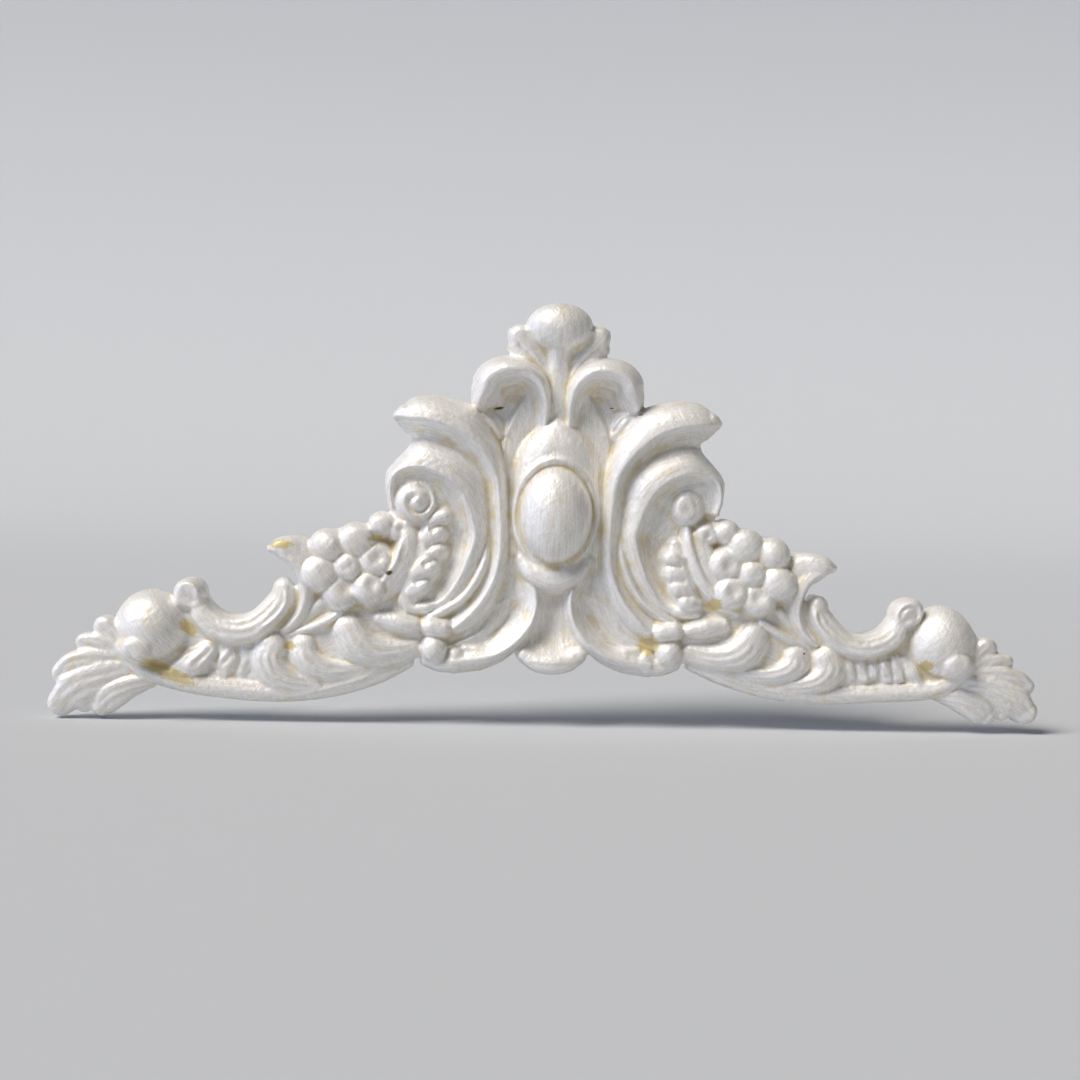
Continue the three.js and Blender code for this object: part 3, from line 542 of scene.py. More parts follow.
def ruffle(r):
    """The frilled leaf under the eye on its bed, more deeply folded on the left, and a long leaf beside
    the flower that shows on the right by its edge only."""
    r.moulding(
        [[30, 26], [31, 10], [33, -8], [38, -24], [44, -36]],
        [([-16, -17, -22, -24, -12], 8.2), ([11, 16, 17, 26, 20], 8.2)],
        blend=0.6,
    )
    r.side(LEFT)
    spine = [[35.4, -1.6], [37, -7.6], [38.2, -13.8], [40.6, -20], [43.6, -26.4]]
    folds = [[33.2, -1.8, 2], [35.2, -6.8, 3], [34.4, -12.4, 2.2], [37.6, -17, 3.2], [39.2, -23.2, 2.6]]
    frill(r, spine, [2.6, 3.6, 4, 4.2, 2.8], folds, 1.6, 0.9)
    leaf = [[43.5, -4.6], [43, -9], [44.6, -15.4], [47.6, -20.3], [51.4, -25], [55.1, -28.3]]
    r.band(leaf, [1.8, 3, 3.5, 3.4, 2.6, 1.3], [11.8, 12.8, 13, 12.6, 11.8, 10.6], round=0.35, tilt=0.7)
    r.line([[45.6, -9], [47.2, -15], [50, -19.6], [53.2, -24.2]], 0.7, 0.6)
    r.side(RIGHT)
    spine = [[36.2, -8.4], [36.6, -12.4], [37.4, -17], [39.4, -22.4], [42, -27.4]]
    folds = [[34.8, -12.4, 2.4], [35.4, -17, 2.8], [37.2, -21.4, 2.5], [39.8, -25.8, 2.2]]
    frill(r, spine, [1.6, 3, 3.8, 3.8, 2.4], folds, 0.3, 0.5)
    r.band([[43.2, -6.4], [44.6, -12], [47.4, -18], [51.4, -23.8]], [2.6, 3.2, 3.2, 2.4],
           [11.8, 12.2, 12.2, 11.4], round=0.2, blend=1.5)
    leaf = [[39.4, -3.4], [40, -8.4], [42.4, -15.6], [46, -21.4], [50.4, -25.6], [55.1, -28.3]]
    r.band(leaf, [1, 1.3, 1.6, 1.9, 1.9, 1.3], [12, 12.8, 13, 12.6, 11.8, 10.6], round=0.6, tilt=0.4)
    r.side(BOTH)
    r.band([[34.6, -27.6], [38.2, -28.8], [43.4, -29]], [1.1, 1.5, 1.2], [10.6, 11.2, 10.6], blend=1.0)


def rosette(r, middle, cupped):
    """Lumpy petals round a button on a raised bed, thick with paint; the cupped ones are dished."""
    r.dome(middle, 11.6, 12.2, round=0.25, blend=1.0)
    for k in range(PETALS):
        turn = np.radians(45 + 360 * k / PETALS)
        ring = 8.5 + 0.4 * np.cos(2.2 * k)
        size = 5.2 + 0.3 * np.sin(1.7 * k)
        at = [middle[0] + ring * np.cos(turn), middle[1] + ring * np.sin(turn)]
        r.dome(at, size, 14.7 + 0.5 * np.sin(2.9 * k), 0.94 * size, round=0.66, blend=0.8)
        lift = -1.4 if k in cupped else 0.3 * np.cos(2 * k)
        r.dent([at[0] - 0.8 * np.cos(turn), at[1] - 0.8 * np.sin(turn)], 2.2, lift)
    r.dome(middle, 4, 14.8, round=0.7, blend=0.7)
    r.dent([middle[0] + 0.6, middle[1] - 0.6], 1.4, -0.5)


def flower(r):
    """A rosette on each side, that on the right nearer the middle with cupped petals, and the buds above."""
    r.side(LEFT)
    rosette(r, FLOWER, ())
    r.dome([46.8, -5.8], 3.2, 12.8, 3, round=0.7)
    r.side(RIGHT)
    rosette(r, RIGHT_FLOWER, (2, 3, 4))
    r.dome([45.4, -5], 3.4, 12.8, 2.8, round=0.6)
    r.dent([45.8, -5.4], 1.2, -1.0)
    r.side(BOTH)
    r.dome([51.6, -4], 4, 13.4, 3.4, round=0.7)
    r.dome([54.6, -6.4], 2.6, 11.6)


def beak_leaf(r):
    """The stem that rises from the wing into a hooked leaf, with a shoot and a spear beside it."""
    r.band([[78, -37.7], [69.2, -34.3], [63.4, -30.9]], [0.8, 1.4, 1.2], [9, 10.8, 10.8], round=1)
    r.band([[75.4, -35], [71.4, -30.4], [68, -27]], [1.2, 1.8, 1.5], [9, 10, 10.4])
    r.band([[75.8, -13.4], [78.8, -12.4], [81.8, -11.7], [84.2, -12]], [5, 4.3, 2.9, 1.2],
           [12.2, 12.8, 12.8, 12], round=0.5, blend=0.5)
    wide = np.array([1.6, 3, 4.4, 4, 3, 2.6, 2.2, 1.4])
    side = np.array([0.7, 1, 1.1, 1.2, 1.3, 1.3, 1.2, 0.8])
    crest = np.array([12, 12.8, 13, 12.6, 12, 11.2, 10.4, 9.2])
    r.moulding(
        [[84.2, -12.6], [80.6, -14.4], [77, -17.4], [74.7, -22.6], [74.2, -26.4], [75.5, -31], [78.4, -34.9],
         [80.7, -36.8]],
        [(side, 9), (0, crest), (-0.5 * wide, crest - 0.5), (-0.85 * wide, crest - 1.6), (-wide, crest - 3)],
        blend=0.5, crisp=(1,),
    )


def c_scroll(r):
    """The C-shaped scroll between the hooked leaf and the ball: a broad band, higher on its outer side,
    with a curled-over head."""
    path = [[105, -29.6], [102.6, -33.2], [98.6, -35.6], [94, -36.4], [88.8, -35.2], [84.6, -31.8],
            [81.4, -27.6], [80.6, -23.8]]
    half = [3.2, 3.7, 3.9, 4, 4, 3.8, 3.2, 2.8]
    r.band(path, half, [10.2, 10.8, 11.2, 11.4, 11.4, 11.4, 11.2, 11], tilt=0.6, round=0.45)
    r.furrows(path, half, 3, 0.16)
    r.line([[79.9, -24.3], [79.2, -27.3], [80.5, -30.4], [84, -33.9], [88.3, -36.8]], 0.6, 0.6)
    r.dome([108, -26.2], 4.9, 11.8, 4.7, round=0.7, blend=1.4)
    r.side(LEFT)
    turn = np.linspace(0.2, 1.15, 7) * np.pi
    r.line(np.stack([108.8 + 3.4 * np.cos(turn), -26.2 + 3.4 * np.sin(turn)], 1), 0.7, 0.5)
    r.dent([109, -26.8], 2.6, -1.6)
    r.side(RIGHT)
    turn = np.linspace(-0.3, 1.2, 11) * np.pi
    r.line(np.stack([108 + 2.6 * np.cos(turn), -26.6 + 2.6 * np.sin(turn)], 1), 0.8, -0.9)
    r.dent([106.8, -28], 1.6, -0.9)
    r.side(BOTH)


def lobes(r):
    """The fat comma-shaped leaf lobes along the wing, heads outwards, furrowed along their sweep."""
    for path, half, crest, count in (
        ([[83.9, -41.4], [84.9, -45.3], [82.5, -49.2], [77.7, -51.6], [70.6, -52.8]],
         [4.6, 5, 4.8, 3.8, 2.4], [10.8, 11, 10.6, 9.8, 8.8], 4),
        ([[74.4, -41.2], [73.8, -44.5], [70.1, -47.2], [64.2, -48.4], [57.1, -47.8]],
         [3.8, 4.2, 3.8, 3.2, 2.2], [10.8, 11.2, 10.8, 10, 9], 3),
        ([[60.9, -36.2], [58.4, -39.9], [54.2, -42], [48.3, -42.4], [41.8, -41.4]],
         [4.8, 5.4, 4.9, 4.1, 3], [12.4, 12.6, 12, 11, 10], 4),
    ):
        r.band(path, half, crest, tilt=-0.6, round=0.6, blend=0.7, skirt=1.6)
        r.furrows(path, half, count, 0.16, sway=0.8)
    r.band([[51.4, -32.2], [46.4, -33.2], [41.2, -34]], [2, 3, 1.9], [11.4, 12.4, 12.2], round=0.85,
           blend=0.9)


def wing(r):
    """The bed of the wing, the crumpled leaf in its recess and the rolled lower edge."""
    r.moulding(
        [[120, -42], [106, -44], [92, -46], [78, -43.5], [60, -36], [40, -34]],
        [([9, 10, 10.5, 13, 15, 9.5], [6.4, 6.8, 7, 8, 8.8, 8.8]),
         ([-10, -12, -10.5, -19, -16, -12], [6.8, 7, 7.6, 8.4, 9, 8.8])],
        blend=0.8,
    )
    r.side(RIGHT)
    for k in range(FLUTES):
        x = 90.2 + 14.6 * k / (FLUTES - 1)
        sway = 0.5 * np.sin(2.3 * k)
        r.band([[x - sway, -40.6], [x + 0.4, -44], [x + 1 + sway, -48 - sway]], [1.2, 1.6, 1.5 + 0.5 * sway],
               [8.4, 9.1 + 0.4 * sway, 8.6], round=0.6, blend=1.4)
    r.band([[107, -42], [110, -46], [112, -49]], [1.4, 2, 1.4], [8.4, 9, 8.2], round=0.5, blend=1.4)
    r.side(LEFT)
    for path, half, crest in (
        ([[112, -49], [107, -47], [102, -42.6]], [1.6, 3.4, 2], [8.6, 10.2, 9.2]),
        ([[98, -49.6], [96.2, -45.6], [97, -41.6]], [1.8, 3, 2], [7.8, 8.9, 8.4]),
        ([[92, -49], [90.4, -45], [91, -41.6]], [1.4, 2.2, 1.6], [7.6, 8.5, 8.2]),
    ):
        r.band(path, half, crest, round=0.5, blend=1.6)
    r.side(BOTH)
    recess = np.exp(-(((r.x - 101) / 12) ** 2) - ((r.z + 45.5) / 5) ** 2)
    r.height += 0.5 * recess * np.sin(1.1 * r.x + 1.3 * np.sin(0.7 * r.z)) * np.sin(0.9 * r.z + 0.5 * r.x)
    edge = [[132.4, -38.6], [127, -44.6], [119.6, -50], [107.4, -53], [97, -54.2], [86.6, -55], [75, -54.8],
            [63, -53], [51.4, -49.4], [43, -45.6]]
    half = [1.4, 1.8, 2.5, 3, 3.1, 3.1, 3, 2.8, 2.5, 1.8]
    r.band(edge, half, [7.8, 8.8, 8.8, 8.8, 8.6, 8.4, 8.2, 8.2, 8.2, 7.6], round=0.6, blend=1.2, count=80)
    r.furrows(edge, half, 2, 0.1)


def end_leaf(r):
    """The leaf that ends the wing: broad lobes lapped like feathers, each highest on its upper side, and
    the ball with its nub above them."""
    r.moulding(
        [[122, -46], [132, -50], [143, -55.5]],
        [([8, 10.5, 6], [5.6, 5, 4.2]), ([-7, -9, -5], [5.4, 5, 4.2])],
    )
    for path, half, crest in (
        ([[129.4, -40.2], [133, -36.8]], [3.2, 3.4], [8.4, 8.6]),
        ([[129.1, -44.2], [135.2, -41.9], [139, -41.4]], [2.4, 3.1, 2.6], [7.6, 8.2, 7.6]),
        ([[126.8, -47], [136, -47.2], [142, -48.6], [145.4, -50.8]], [2.6, 3.8, 4.2, 3.2],
         [7.4, 8.2, 7.8, 6.8]),
        ([[119.6, -53.2], [125, -54.6], [129.6, -57], [132.6, -59.6], [134, -60.8]], [1.6, 3, 3.8, 3.5, 2.6],
         [7.2, 8, 8, 7.2, 6.4]),
        ([[134.6, -52.4], [137.6, -57.4], [138.8, -60]], [1.6, 3, 2.4], [6.8, 6.8, 6]),
        ([[124.6, -49.4], [134, -51.9], [141.6, -55.8], [145.8, -59.6]], [2.8, 4.5, 5.2, 4],
         [7.4, 8.4, 8, 6.6]),
    ):
        r.band(path, half, crest, round=0.22, tilt=0.8, blend=0.7, skirt=1.1)
        r.furrows(path, half, 3, 0.14, sway=0.8)
    r.dome([122.8, -42.4], 4.2, 14, 3.4, round=0.5, blend=1.0)
    r.dome(BALL, BALL_RADIUS, 13.8)
    r.dent([123.8, -43.2], 1.8, -0.4)


def foot(r):
    """The scooped foot beside the tongue: a thin rolled rim round a hollow, a toe, a knot and a ball."""
    r.moulding(
        [[12.4, -13.4], [8.8, -17.5], [5.6, -22.2], [4.7, -26.8], [5.6, -31.8], [8.2, -36.2],
         [11.8, -39.8], [16.4, -42.8], [22.6, -44.6], [30, -45.4]],
        [
            ([-1.3, -1.3, -1.3, -1.3, -1.6, -1.8, -1.8, -2.4, -3, -3.3],
             [6, 8.4, 9, 8.6, 8.2, 8.2, 8, 7.4, 7, 7]),
            (0.2, [6.4, 9.6, 11.2, 11.6, 11.8, 11.8, 11.6, 11.4, 11, 10.6]),
            ([1.2, 1.2, 1.4, 1.5, 1.6, 1.7, 1.8, 2, 2.2, 2],
             [6.4, 9.2, 10.6, 10.8, 11, 11, 10.8, 10.6, 10.4, 10]),
            ([2, 3.4, 5.2, 6.2, 6.6, 6.4, 6, 5.2, 4.4, 3.6], [6, 8, 8.4, 7.8, 7.2, 7, 7.4, 8, 8.6, 9]),
            ([4, 7, 10.4, 11.6, 12.4, 12.4, 11.4, 9.4, 7.4, 5.4],
             [6, 7.6, 8.6, 8.6, 8.2, 8, 8.2, 8.6, 9, 9.2]),
        ],
        blend=0.6, count=90,
    )
    r.band([[17, -41.4], [21.6, -41.6], [26, -41]], [1.2, 2, 1.4], [9, 10, 9.6], blend=0.9)
    r.band([[29, -45.2], [33, -45.4], [37, -44.4]], [3, 2.8, 2.4], [10.2, 9.8, 9.2])
    r.band([[36.4, -34.2], [32.8, -34.8]], [2.7, 2.5], 13, blend=0.7)
    r.dome([35.4, -41], 4.2, 12.6)
    r.dome([28.6, -42.6], 2.4, 10.6)


def carve(x, z, hand):
    """The whole relief over points of the front, how far each lies inside the outline, and its flow."""
    r = Relief(x, z, hand)
    inner = (cartouche, tongue, crown, curl, volute, flower, foot)
    outer = (beak_leaf, c_scroll, lobes, end_leaf)
    for form in (wing, ruffle, *inner, *outer):
        form(r)
    worn = 1 - np.clip(r.inside / EDGE_WEAR, 0, 1)
    return r.height - worn**2, r.inside, r.flow


def outward(x, z):
    """Plan points as the left half is drawn: x without its sign, and on the right the slimming of the
    wing undone by three steps towards the height that is moved onto this one; and the half they are on."""
    out = np.abs(x)
    rise = z.copy()
    upper = np.clip((out - UPPER_START) / UPPER_RUN, 0, 1)
    lower = np.clip((out - LOWER_START) / LOWER_RUN, 0, 1)
    spared = 1 - np.exp(-(((out - BALL[0]) / BALL_RADIUS) ** 2))
    for _ in range(3):
        ramp = np.where(rise > WING_MIDDLE, upper, lower)
        share = ramp**2 * (3 - 2 * ramp)
        rise = z + SLIMMING * share * spared * np.tanh((rise - WING_MIDDLE) / SLIM_HEIGHT)
    return out, np.where(x > 0, rise, z), np.sign(x)


def flood(seed, room):
    """The part of the room that is joined to the seed, found by letting it spread a cell at a time."""
    now = seed & room
    while True:
        grown = now.copy()
        grown[1:] |= now[:-1]
        grown[:-1] |= now[1:]
        grown[:, 1:] |= now[:, :-1]
        grown[:, :-1] |= now[:, 1:]
        grown &= room
        if (grown == now).all():
            return now
        now = grown


def casting_cells(inside):
    """The grid cells the casting covers: those with a corner inside, without holes, in one piece, and
    without two cells that touch by a corner only."""
    core = inside > 0
    cells = core[:-1, :-1] | core[1:, :-1] | core[:-1, 1:] | core[1:, 1:]
    for _ in range(4):
        a, b, c, d = cells[:-1, :-1], cells[1:, 1:], cells[1:, :-1], cells[:-1, 1:]
        pinch = (a & b & ~c & ~d) | (c & d & ~a & ~b)
        cells[:-1, :-1] |= pinch
        cells[1:, 1:] |= pinch
        cells[1:, :-1] |= pinch
        cells[:-1, 1:] |= pinch
    rim = np.zeros_like(cells)
    rim[0] = rim[-1] = True
    rim[:, 0] = rim[:, -1] = True
    cells = ~flood(rim, ~cells)
    middle = np.zeros_like(cells)
    middle[cells.shape[0] // 2, cells.shape[1] // 2] = True
    return flood(middle, cells)


def hollowness(height, used, reach):
    """How far the surface lies below the mean of its neighbourhood, in millimetres: the mean is two box
    means one after the other, taken by running sums over the used points only."""
    wide = max(int(round(reach)), 1)
    span = 2 * wide + 1

    def mean(field):
        for axis in (0, 1):
            room = [(0, 0), (0, 0)]
            room[axis] = (wide + 1, wide)
            run = np.cumsum(np.pad(field, room), axis)
            last = run.take(range(span, run.shape[axis]), axis)
            first = run.take(range(run.shape[axis] - span), axis)
            field = (last - first) / span
        return field

    top = mean(mean(np.where(used, height, 0)))
    share = mean(mean(used.astype(float)))
    return np.where(used, top / np.maximum(share, 1e-3) - height, 0)


def unevenness(x, z):
    """How a hand-finished casting swells and sinks, from -1 to 1: two crossed waves about seven and four
    millimetres long, whose phases are bent by two slower ones."""
    bend = np.sin(0.31 * x + 0.47 * z) + np.sin(0.53 * z - 0.22 * x)
    coarse = np.sin(0.9 * x + 1.7 * bend) * np.sin(0.8 * z - 1.3 * bend)
    fine = np.sin(1.6 * x - 0.9 * z + 2.1 * bend) * np.sin(1.2 * x + 1.7 * z - 1.9 * bend)
    return 0.6 * coarse + 0.4 * fine


def worn_and_shadow_marks(points, places):
    """How strongly named places are marked, 0 to 1, worn places and places of painted shadow alike: each is
    an oval (x, z, half length, half width, turn in degrees), full in its middle half and gone at twice its
    size."""
    worn = np.zeros(len(points))
    for x, z, long, wide, turn in places:
        c = math.cos(math.radians(turn))
        s = math.sin(math.radians(turn))
        dx = points[:, 0] - x
        dz = points[:, 2] - z
        away = np.hypot((c * dx + s * dz) / long, (c * dz - s * dx) / wide)
        worn = np.maximum(worn, np.clip((2 - away) / 1.5, 0, 1))
    return worn[:, None]


def rim_of(faces, count):
    """The edges that only one face has, and each rim point's neighbours before and after it."""
    edges = np.concatenate([faces[:, [k, (k + 1) % 4]] for k in range(4)])
    single = ~np.isin(edges[:, 0] * count + edges[:, 1], edges[:, 1] * count + edges[:, 0])
    border = edges[single]
    after = np.arange(count)
    before = np.arange(count)
    after[border[:, 0]] = border[:, 1]
    before[border[:, 1]] = border[:, 0]
    return border, before, after


def casting_mesh(name, cell):
    """The casting as one closed mesh: the front is a sheet (x, height, z) over a grid of cells, with the
    rim corners moved along the slope of `inside` onto the outline and evened out along it; straight walls
    go from the rim to the back, and the back is one flat face."""
    xs = np.arange(-HALF_LENGTH, HALF_LENGTH + cell, cell)
    zs = np.arange(LOWEST, HIGHEST + cell, cell)
    x, z = np.meshgrid(xs, zs, indexing="ij")
    _, inside, _ = carve(*outward(x.ravel(), z.ravel()))
    inside = inside.reshape(x.shape)
    cells = casting_cells(inside)
    slope_x, slope_z = np.gradient(inside, cell)
    steep = np.maximum(np.hypot(slope_x, slope_z), 0.4)
    around = np.pad(cells, 1).astype(int)
    touched = around[:-1, :-1] + around[1:, :-1] + around[:-1, 1:] + around[1:, 1:]
    used = touched > 0
    number = np.full(x.shape, -1)
    number[used] = np.arange(used.sum())
    corners = [number[:-1, :-1], number[1:, :-1], number[1:, 1:], number[:-1, 1:]]
    faces = np.stack([corner[cells] for corner in corners], 1)
    border, before, after = rim_of(faces, used.sum())
    rim = np.unique(border)
    plan = np.stack([x[used], z[used]], 1)
    toward = np.stack([slope_x[used], slope_z[used]], 1)[rim] / steep[used][rim, None]
    shift = np.clip(-inside[used][rim] / steep[used][rim], -0.75 * cell, 0.75 * cell)
    plan[rim] += shift[:, None] * toward
    for _ in range(RIM_PASSES):
        plan[rim] = 0.5 * plan[rim] + 0.25 * (plan[before[rim]] + plan[after[rim]])
    x[used], z[used] = plan.T
    height, inside, flow = carve(*outward(x.ravel(), z.ravel()))
    fade = np.clip(inside.reshape(x.shape) / 2.5, 0, 1)
    height = height.reshape(x.shape) + UNEVEN * fade * unevenness(x, z)
    sunk = hollowness(height, used, SETTLE_REACH / cell)
    height = np.maximum(height + SETTLE_SHARE * np.maximum(sunk - SETTLE_FROM, 0), LEAST_EDGE)
    # Hollowness at the two reaches, kept for the dust and the painted shade in the hollows.
    cavity_dust_and_shade = np.stack([fade * hollowness(height, used, reach / cell) for reach in CAVITY_REACH], -1)[used]
    front = np.stack([x[used], -height[used], z[used]], 1)
    order = np.full(len(front), -1)
    order[rim] = np.arange(len(rim))
    rows = [front]
    walls = []
    upper = border
    for k in range(WALL_ROWS):
        lower = order[border] + len(front) + k * len(rim)
        rows.append(front[rim] * (1, 1 - (k + 1) / WALL_ROWS, 1))
        walls.append(np.stack([upper[:, 1], upper[:, 0], lower[:, 0], lower[:, 1]], 1))
        upper = lower
    points = np.concatenate(rows) / 1000
    quads = np.concatenate([faces, *walls])
    mesh = bpy.data.meshes.new(name)
    mesh.vertices.add(len(points))
    mesh.vertices.foreach_set("co", points.astype(np.float32).ravel())
    mesh.loops.add(quads.size)
    mesh.loops.foreach_set("vertex_index", quads.astype(np.int32).ravel())
    mesh.polygons.add(len(quads))
    mesh.polygons.foreach_set("loop_start", np.arange(0, quads.size, 4, dtype=np.int32))
    mesh.polygons.foreach_set("use_smooth", np.ones(len(quads), bool))
    mesh.update(calc_edges=True)
    spare = len(points) - len(front)
    for label, kind, field, values in (
        ("flow", "FLOAT_VECTOR", "vector", flow[used.ravel()]),
        ("fine_hollow", "FLOAT", "value", cavity_dust_and_shade[:, :1]),
        ("broad_hollow", "FLOAT", "value", cavity_dust_and_shade[:, 1:]),
        ("bare", "FLOAT", "value", worn_and_shadow_marks(front, BARE_PLACES)),
        # The holes and cracks that get painted shadow.
        ("hole_shadow", "FLOAT", "value", worn_and_shadow_marks(front, SHADOW_PLACES)),
    ):
        whole = np.concatenate([values, np.zeros((spare, values.shape[1]))]).astype(np.float32)
        mesh.attributes.new(label, kind, "POINT").data.foreach_set(field, whole.ravel())
    shape = bmesh.new()
    shape.from_mesh(mesh)
    back = bmesh.ops.holes_fill(shape, edges=shape.edges, sides=0)["faces"]
    for face in back:
        face.smooth = False
    bmesh.ops.triangulate(shape, faces=back)
    bmesh.ops.recalc_face_normals(shape, faces=shape.faces)
    shape.to_mesh(mesh)
    shape.free()
    return mesh


def add_node(tree, kind, settings=None, inputs=None, out=0):
    """Adds a node, gives it its settings, fills its sockets with values or links, and hands on an output."""
    node = tree.nodes.new(kind)
    for key, value in (settings or {}).items():
        setattr(node, key, value)
    for key, value in (inputs or {}).items():
        if isinstance(value, bpy.types.NodeSocket):
            tree.links.new(value, node.inputs[key])
        else:
            node.inputs[key].default_value = value
    return node.outputs[out]


def painted_resin(look):
    """Pearl-white paint, brushed on cream cast resin: a satin white with a faint metallic lustre, streaked
    along the carving by the brush, cream where it is thin and tan where it missed the hollows; the cream and
    the tan also darken the hollows by their depth as painted shade."""
    material = bpy.data.materials.new("pearl_paint_on_cream_resin")
    material.use_nodes = True
    tree = material.node_tree
    shader = tree.nodes["Principled BSDF"]
    noise = "ShaderNodeTexNoise"
    maths = "ShaderNodeMath"
    times = {"operation": "MULTIPLY"}
    times_plus = {"operation": "MULTIPLY_ADD"}
    # Where the strokes run: along and across each form, as carried by the mesh, and real millimetres.
    flow = add_node(tree, "ShaderNodeAttribute", {"attribute_name": "flow"}, out="Vector")
    object_place = add_node(tree, "ShaderNodeTexCoord", out="Object")
    place = add_node(tree, "ShaderNodeVectorMath", times, {0: object_place, 1: (1000, 1000, 1000)})
    stroke_scale = (1 / STROKE_LENGTH, 1 / STROKE_WIDTH, FORM_STEP)
    stroke_place = add_node(tree, "ShaderNodeVectorMath", times, {0: flow, 1: stroke_scale})
    strokes = add_node(
        tree, noise, None,
        {"Vector": stroke_place, "Scale": 1, "Detail": 3, "Roughness": 0.6, "Distortion": 1.0},
    )
    bristle_scale = (1 / BRISTLE_LENGTH, 1 / BRISTLE_WIDTH, FORM_STEP)
    bristle_place = add_node(tree, "ShaderNodeVectorMath", times, {0: flow, 1: bristle_scale})
    bristles = add_node(
        tree, noise, None, {"Vector": bristle_place, "Scale": 1, "Detail": 2, "Distortion": 0.4}
    )
    hatch = 0
    for angle in CROSS_ANGLES:
        turn = (0, math.radians(angle), 0)
        size = (BRISTLE_WIDTH, 2, BRISTLE_LENGTH)
        drawn = add_node(
            tree, "ShaderNodeMapping", {"vector_type": "TEXTURE"},
            {"Vector": place, "Rotation": turn, "Scale": size},
        )
        crossed = add_node(tree, noise, None, {"Vector": drawn, "Scale": 1, "Detail": 2, "Distortion": 0.5})
        hatch = add_node(tree, maths, {"operation": "ADD"}, {0: hatch, 1: crossed})
    blots = add_node(tree, noise, None, {"Vector": place, "Scale": 1 / BLOT_SIZE, "Detail": 4})
    grain = add_node(tree, noise, None, {"Vector": place, "Scale": 1 / GRAIN_SIZE, "Detail": 3})
    # The last attribute marks the painted shadow in holes and cracks.
    fine, broad, bare, deep = (
        add_node(tree, "ShaderNodeAttribute", {"attribute_name": name}, out="Fac")
        for name in ("fine_hollow", "broad_hollow", "bare", "hole_shadow")
    )
    # The coat: full on the strokes and thin between them, with the speckle of its grain.
    hairs = add_node(tree, maths, times_plus, {0: hatch, 1: 0.4, 2: bristles})
    coat = add_node(tree, maths, times_plus, {0: hairs, 1: 0.6, 2: strokes})
    speckled = add_node(tree, maths, times_plus, {0: grain, 1: 0.6, 2: coat})
    # Soft patches where the resin glows through, narrow hollows that were missed, and wide dusty ones; all
    # three also darken the hollows by their depth as painted shade.
    patches = add_node(tree, maths, times_plus, {0: strokes, 1: 0.7, 2: blots})
    # The cream tint is the resin through thin paint, and by its hollowness term painted shade in narrow
    # hollows.
    resin_tint_and_cavity_shade = add_node(tree, maths, times_plus, {0: fine, 1: 0.22, 2: patches})
    narrow = add_node(tree, maths, times_plus, {0: blots, 1: 0.9, 2: fine})
    wide = add_node(tree, maths, times_plus, {0: blots, 1: 2.0, 2: broad})
    # Bare places with a ragged edge.
    ragged = add_node(tree, maths, times_plus, {0: grain, 1: 0.9, 2: bare})
    torn = add_node(tree, maths, times_plus, {0: strokes, 1: 1.5, 2: ragged})
    # Over the full paint in turn: what drives each, where it begins and is full, its most, its colour.
    colour = (*look.paint, 1)
    for drive, begin, full, most, tint in (
        (speckled, 1.15, 1.55, look.brush, look.thin_paint),
        # Cream: resin through thin paint, and painted shade in narrow hollows.
        (resin_tint_and_cavity_shade, 0.86, 1.2, 0.64, look.resin_tint_and_shade),
        # Tan in narrow and wide hollows: dust and missed paint, and painted shade by their depth.
        (narrow, 1.15, 2.8, 0.7, look.cavity_dust_and_shade),
        (wide, 2.0, 4.6, 0.4, look.cavity_dust_and_shade),
        (torn, 1.5, 1.8, 0.9, look.resin),
        # Painted shadow: dark brown in the holes and cracks.
        (deep, 0.45, 0.9, 1.0, look.hole_shadow),
    ):
        share = add_node(
            tree, "ShaderNodeMapRange", {"interpolation_type": "SMOOTHSTEP"},
            {"Value": drive, "From Min": begin, "From Max": full, "To Max": most},
        )
        over = {0: share, 6: colour, 7: (*tint, 1)}
        colour = add_node(tree, "ShaderNodeMix", {"data_type": "RGBA"}, over, 2)
    gloss = add_node(
        tree, "ShaderNodeMapRange", None,
        {"Value": coat, "From Min": 0.8, "From Max": 1.3, "To Min": 0.4, "To Max": 0.58},
    )
    # The ridges left by the brush and the fine grain of the coat.
    rough = add_node(tree, maths, times_plus, {0: grain, 1: 0.5, 2: hatch})
    ridges = add_node(tree, maths, times_plus, {0: bristles, 1: 0.5, 2: rough})
    bump = add_node(
        tree, "ShaderNodeBump", None, {"Strength": 1, "Distance": PAINT_RELIEF / 1000, "Height": ridges}
    )
    tree.links.new(colour, shader.inputs["Base Color"])
    tree.links.new(gloss, shader.inputs["Roughness"])
    tree.links.new(bump, shader.inputs["Normal"])
    tree.links.new(bump, shader.inputs["Coat Normal"])
    shader.inputs["Coat Weight"].default_value = 0.3
    shader.inputs["Coat Roughness"].default_value = 0.27
    shader.inputs["Metallic"].default_value = 0.25
    shader.inputs["IOR"].default_value = 1.5
    return material


def photo_camera():
    """The camera where the photo was taken: the ornament's axes are turned by yaw, pitch and roll, and the
    camera's own axes and place are the same turn undone."""
    yaw, pitch, roll = map(math.radians, (CAMERA_YAW, CAMERA_PITCH, CAMERA_ROLL))
    turn = Matrix.Rotation(roll, 3, "Z") @ Matrix.Rotation(pitch, 3, "X") @ Matrix.Rotation(yaw, 3, "Y")
    upright = Matrix(((1, 0, 0), (0, 0, 1), (0, -1, 0)))
    undone = (turn @ upright).transposed()
    camera = bpy.data.objects.new("photo_camera", bpy.data.cameras.new("photo_camera"))
    camera.data.lens = CAMERA_LENS
    camera.data.sensor_width = SENSOR_WIDTH
    camera.data.clip_start = 0.01
    camera.location = undone @ Vector(CAMERA_PLACE) / 1000
    camera.rotation_mode = "QUATERNION"
    camera.rotation_quaternion = undone.to_quaternion()
    return camera


